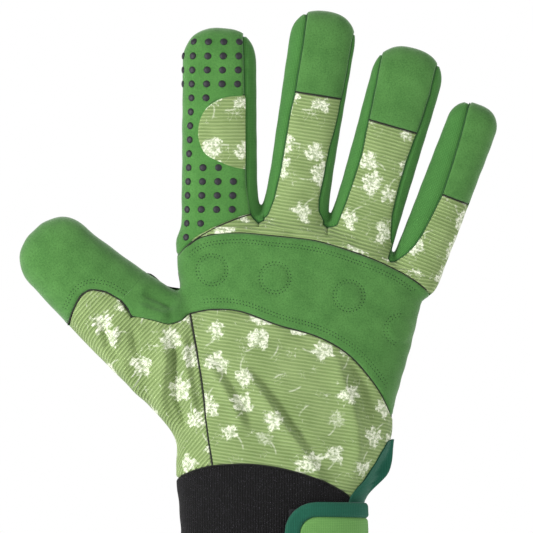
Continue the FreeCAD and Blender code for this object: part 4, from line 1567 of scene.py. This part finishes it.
dots = {}
for z in np.arange(66, 246, DOT_PITCH):
    for x in np.arange(-101, 96, DOT_PITCH):
        if form_gap(np.array((x, 0.0, z))) < -1 and clear_of_seams(x, z):
            dots.setdefault((zone_at(x, z, 1), 1), []).append((x, z))
OFF = -99
FIRST_ROW, ROW_STEP, FIRST_COLUMN, COLUMN_STEP, ROW_SLANT = 77.3, 5.86, 8.0, 6.45, 0.25
for k in range(15):
    s = FIRST_ROW - ROW_STEP * k
    section = np.linspace(0, -outline_u("index", s), 60)
    rows = on_form(on_finger("index", np.stack([np.full(60, s), section], -1)), -1)
    arc = running_length(rows)
    for j in range(-1, 5):
        u = FIRST_COLUMN - COLUMN_STEP * j - ROW_SLANT * k
        if u < 0:
            u = float(np.interp(-u, arc, section)) if -u < arc[-1] - 1.2 else OFF
        low = np.interp(u, [p[1] for p in INDEX_ARC], [p[0] for p in INDEX_ARC])
        moon_low = np.interp(u, (-9.7, -6.4, 0, 10.3), (38, 29.9, 26.5, 23.6))
        moon_high = np.interp(u, (-9.7, -6.3, 2, 10.2), (42, 49.6, 54.4, 55.1))
        in_moon = u > -11 and moon_low - 1.7 < s < moon_high + 1.7
        if u == OFF or u > 9.6 or s < low + 2.0 or in_moon:
            continue
        zone = "index_lower" if s < CUT["index"] else "index_upper"
        dots.setdefault((zone, -1), []).append(on_finger("index", (s, u)))
for (zone, side), places in sorted(dots.items()):
    p, out = on_cloth(places, side, 0.38 if side < 0 else -0.02)
    name = f"grip_dots_{zone}_{'palm' if side > 0 else 'back'}"
    piece = domes(name, p, out, (DOT, DOT, 1.3), 12, 6, grip_rubber)
    settle(piece, zone)
    print(name, len(places), "dots")

# %% [markdown]
# The suede bar is sewn through its foam pads. The thread has sunk into the nap, so what shows is
# pairs of small needle holes, each a dark dome of painted shade: two rows inside each edge and two
# rings round each knuckle.


# %% Needle holes
def even(path, spacing):
    """Places along a smooth path, evenly spaced."""
    path = np.asarray(path, float)
    fine = curve(path, np.linspace(0, len(path) - 1, 40 * len(path)))
    total = running_length(fine)
    count = max(2, int(total[-1] / spacing))
    return read_path(np.linspace(0, total[-1], count), total, fine)


def beside(path, distance):
    """A path moved sideways, to the left of its direction for a positive distance."""
    fine = even(path, 1.0)
    run = np.gradient(fine, axis=0)
    run /= np.linalg.norm(run, axis=-1, keepdims=True)
    return fine + distance * np.stack([-run[:, 1], run[:, 0]], -1)


HOLE_SPACING = 1.35
holes = {"hand": [], "thumb_upper": []}
for path, way in ((BAR_LOWER[1:], 1), (BAR_UPPER, -1)):
    for distance, shift in ((3.1, 0), (4.4, 1)):
        holes["hand"].append(even(beside(path, way * distance), HOLE_SPACING)[shift:])
for centre in KNUCKLES.values():
    for radius in (5.4, 6.7):
        count = int(2 * math.pi * radius / 1.45)
        turn = np.linspace(0, 2 * math.pi, count, endpoint=False)
        ring = radius * np.stack([np.cos(turn), np.sin(turn)], -1)
        holes["hand"].append(np.array(centre) + ring)
for distance in (3.0, 4.3):
    holes["thumb_upper"].append(even(beside(thumb(ARCH[1:]), distance), HOLE_SPACING))
for zone, groups in holes.items():
    places = np.concatenate(groups)
    places = places[form_gap(flat_points(places)) < -2.0]
    p, out = on_cloth(places, -1, 0.22 if zone == "hand" else 0.16)
    # each needle hole is a small dark dome of painted shade
    piece = domes("needle_holes_" + zone, p, out, (0.62, 0.55, 0.24), 6, 4, needle_hole_shade)
    settle(piece, zone)
    print("needle holes on", zone, len(places))

# %% [markdown]
# Every seam shows a dark line where the two panels meet. A thin cord sunk in the groove gives
# it: black thread where the print fabric meets suede, and a dark green cord of painted seam shade
# along the finger sides and the palm seam by the thumb.


# %% Seam cords
CORD_SPACING = 0.8


def seam_cord(name, runs, material, slot, zone, radius=0.3, layer=-0.55, smooth=True):
    """One cord along each (path, side) run, of black thread or of dark green painted seam shade as
    its material says.
    """
    verts, edges = [], []
    for path, side in runs:
        places = even(path, CORD_SPACING) if smooth else np.asarray(path, float)
        p, _ = on_cloth(places, side, layer)
        start = len(verts)
        verts += [tuple(v) for v in p * MM]
        edges += [(start + k, start + k + 1) for k in range(len(p) - 1)]
    piece = grown(name, verts, edges, {}, CORD,
                  {"Radius": radius * MM, "Sides": 6, "Material": material})
    settle(piece, zone)
    print(name, len(verts), "points")


BACK, PALM = -1, 1
for name, runs, material, slot, zone, *size in (
        ("bar", [(BAR_LOWER[1:], BACK), (BAR_UPPER, BACK)], black_thread, "suede", "hand"),
        ("thumb_back", [(back_lines[:, 0], BACK)], black_thread, "print_fabric", "hand",
         0.42, -0.5),
        ("cuff", [(CUFF_TOP[1:], BACK), (palm_cuff_top[1:-1], PALM)], black_thread, "elastic",
         "hand"),
        # painted seam shade along the palm seam by the thumb
        ("palm_thumb", [(palm_lines[:3, 0], PALM)], painted_seam_shade, "dotted_suede", "hand"),
        ("thumb_leg", [(thumb(LEG), BACK), (gusset_low[2:], BACK)], black_thread, "suede",
         "thumb_lower", 0.32, -0.3),
        ("thumb_arch", [(thumb(ARCH), BACK)], black_thread, "suede", "thumb_upper", 0.32, -0.4),
        ("index_arc", [(on_finger("index", INDEX_ARC), BACK)], black_thread, "dotted_suede",
         "index_lower", 0.3, -0.15),
        ("inset", [(on_finger("index", MOON), BACK)], black_thread, "dotted_suede",
         "index_upper", 0.3, 0.1)):
    seam_cord("seam_" + name, runs, material, slot, zone, *size)
for name in CAPS:
    ends = [float(seam_u(name, side, CAPS[name])) for side in ("left", "right")]
    across = np.stack([np.full(9, CAPS[name]), np.linspace(*ends, 9)], -1)
    seam_cord(f"seam_{name}_cap", [(on_finger(name, across), BACK)], black_thread, "suede",
              f"{name}_upper")
for name in FINGER_ROOTS:
    cut = CUT[name]
    runs = {"lower": [], "upper": []}
    for side in SEAMS[name]:
        knot, last = KNOTS[KNOT_OF[name, side]], seam_end(name, side)
        first = in_finger(name, knot)[0]
        for part, low, high in (("lower", first, cut), ("upper", cut, last)):
            s = np.linspace(low, high, int((high - low) / CORD_SPACING))
            path = on_finger(name, np.stack([s, seam_u(name, side, s)], -1))
            if part == "lower":
                path[0] = knot
            runs[part] += [(path, BACK), (path, PALM)]
    for part, lines in runs.items():
        # painted seam shade along the finger sides
        seam_cord(f"seam_{name}_sides_{part}", lines, painted_seam_shade, "side_fabric", f"{name}_{part}",
                  0.28, -0.7, smooth=False)
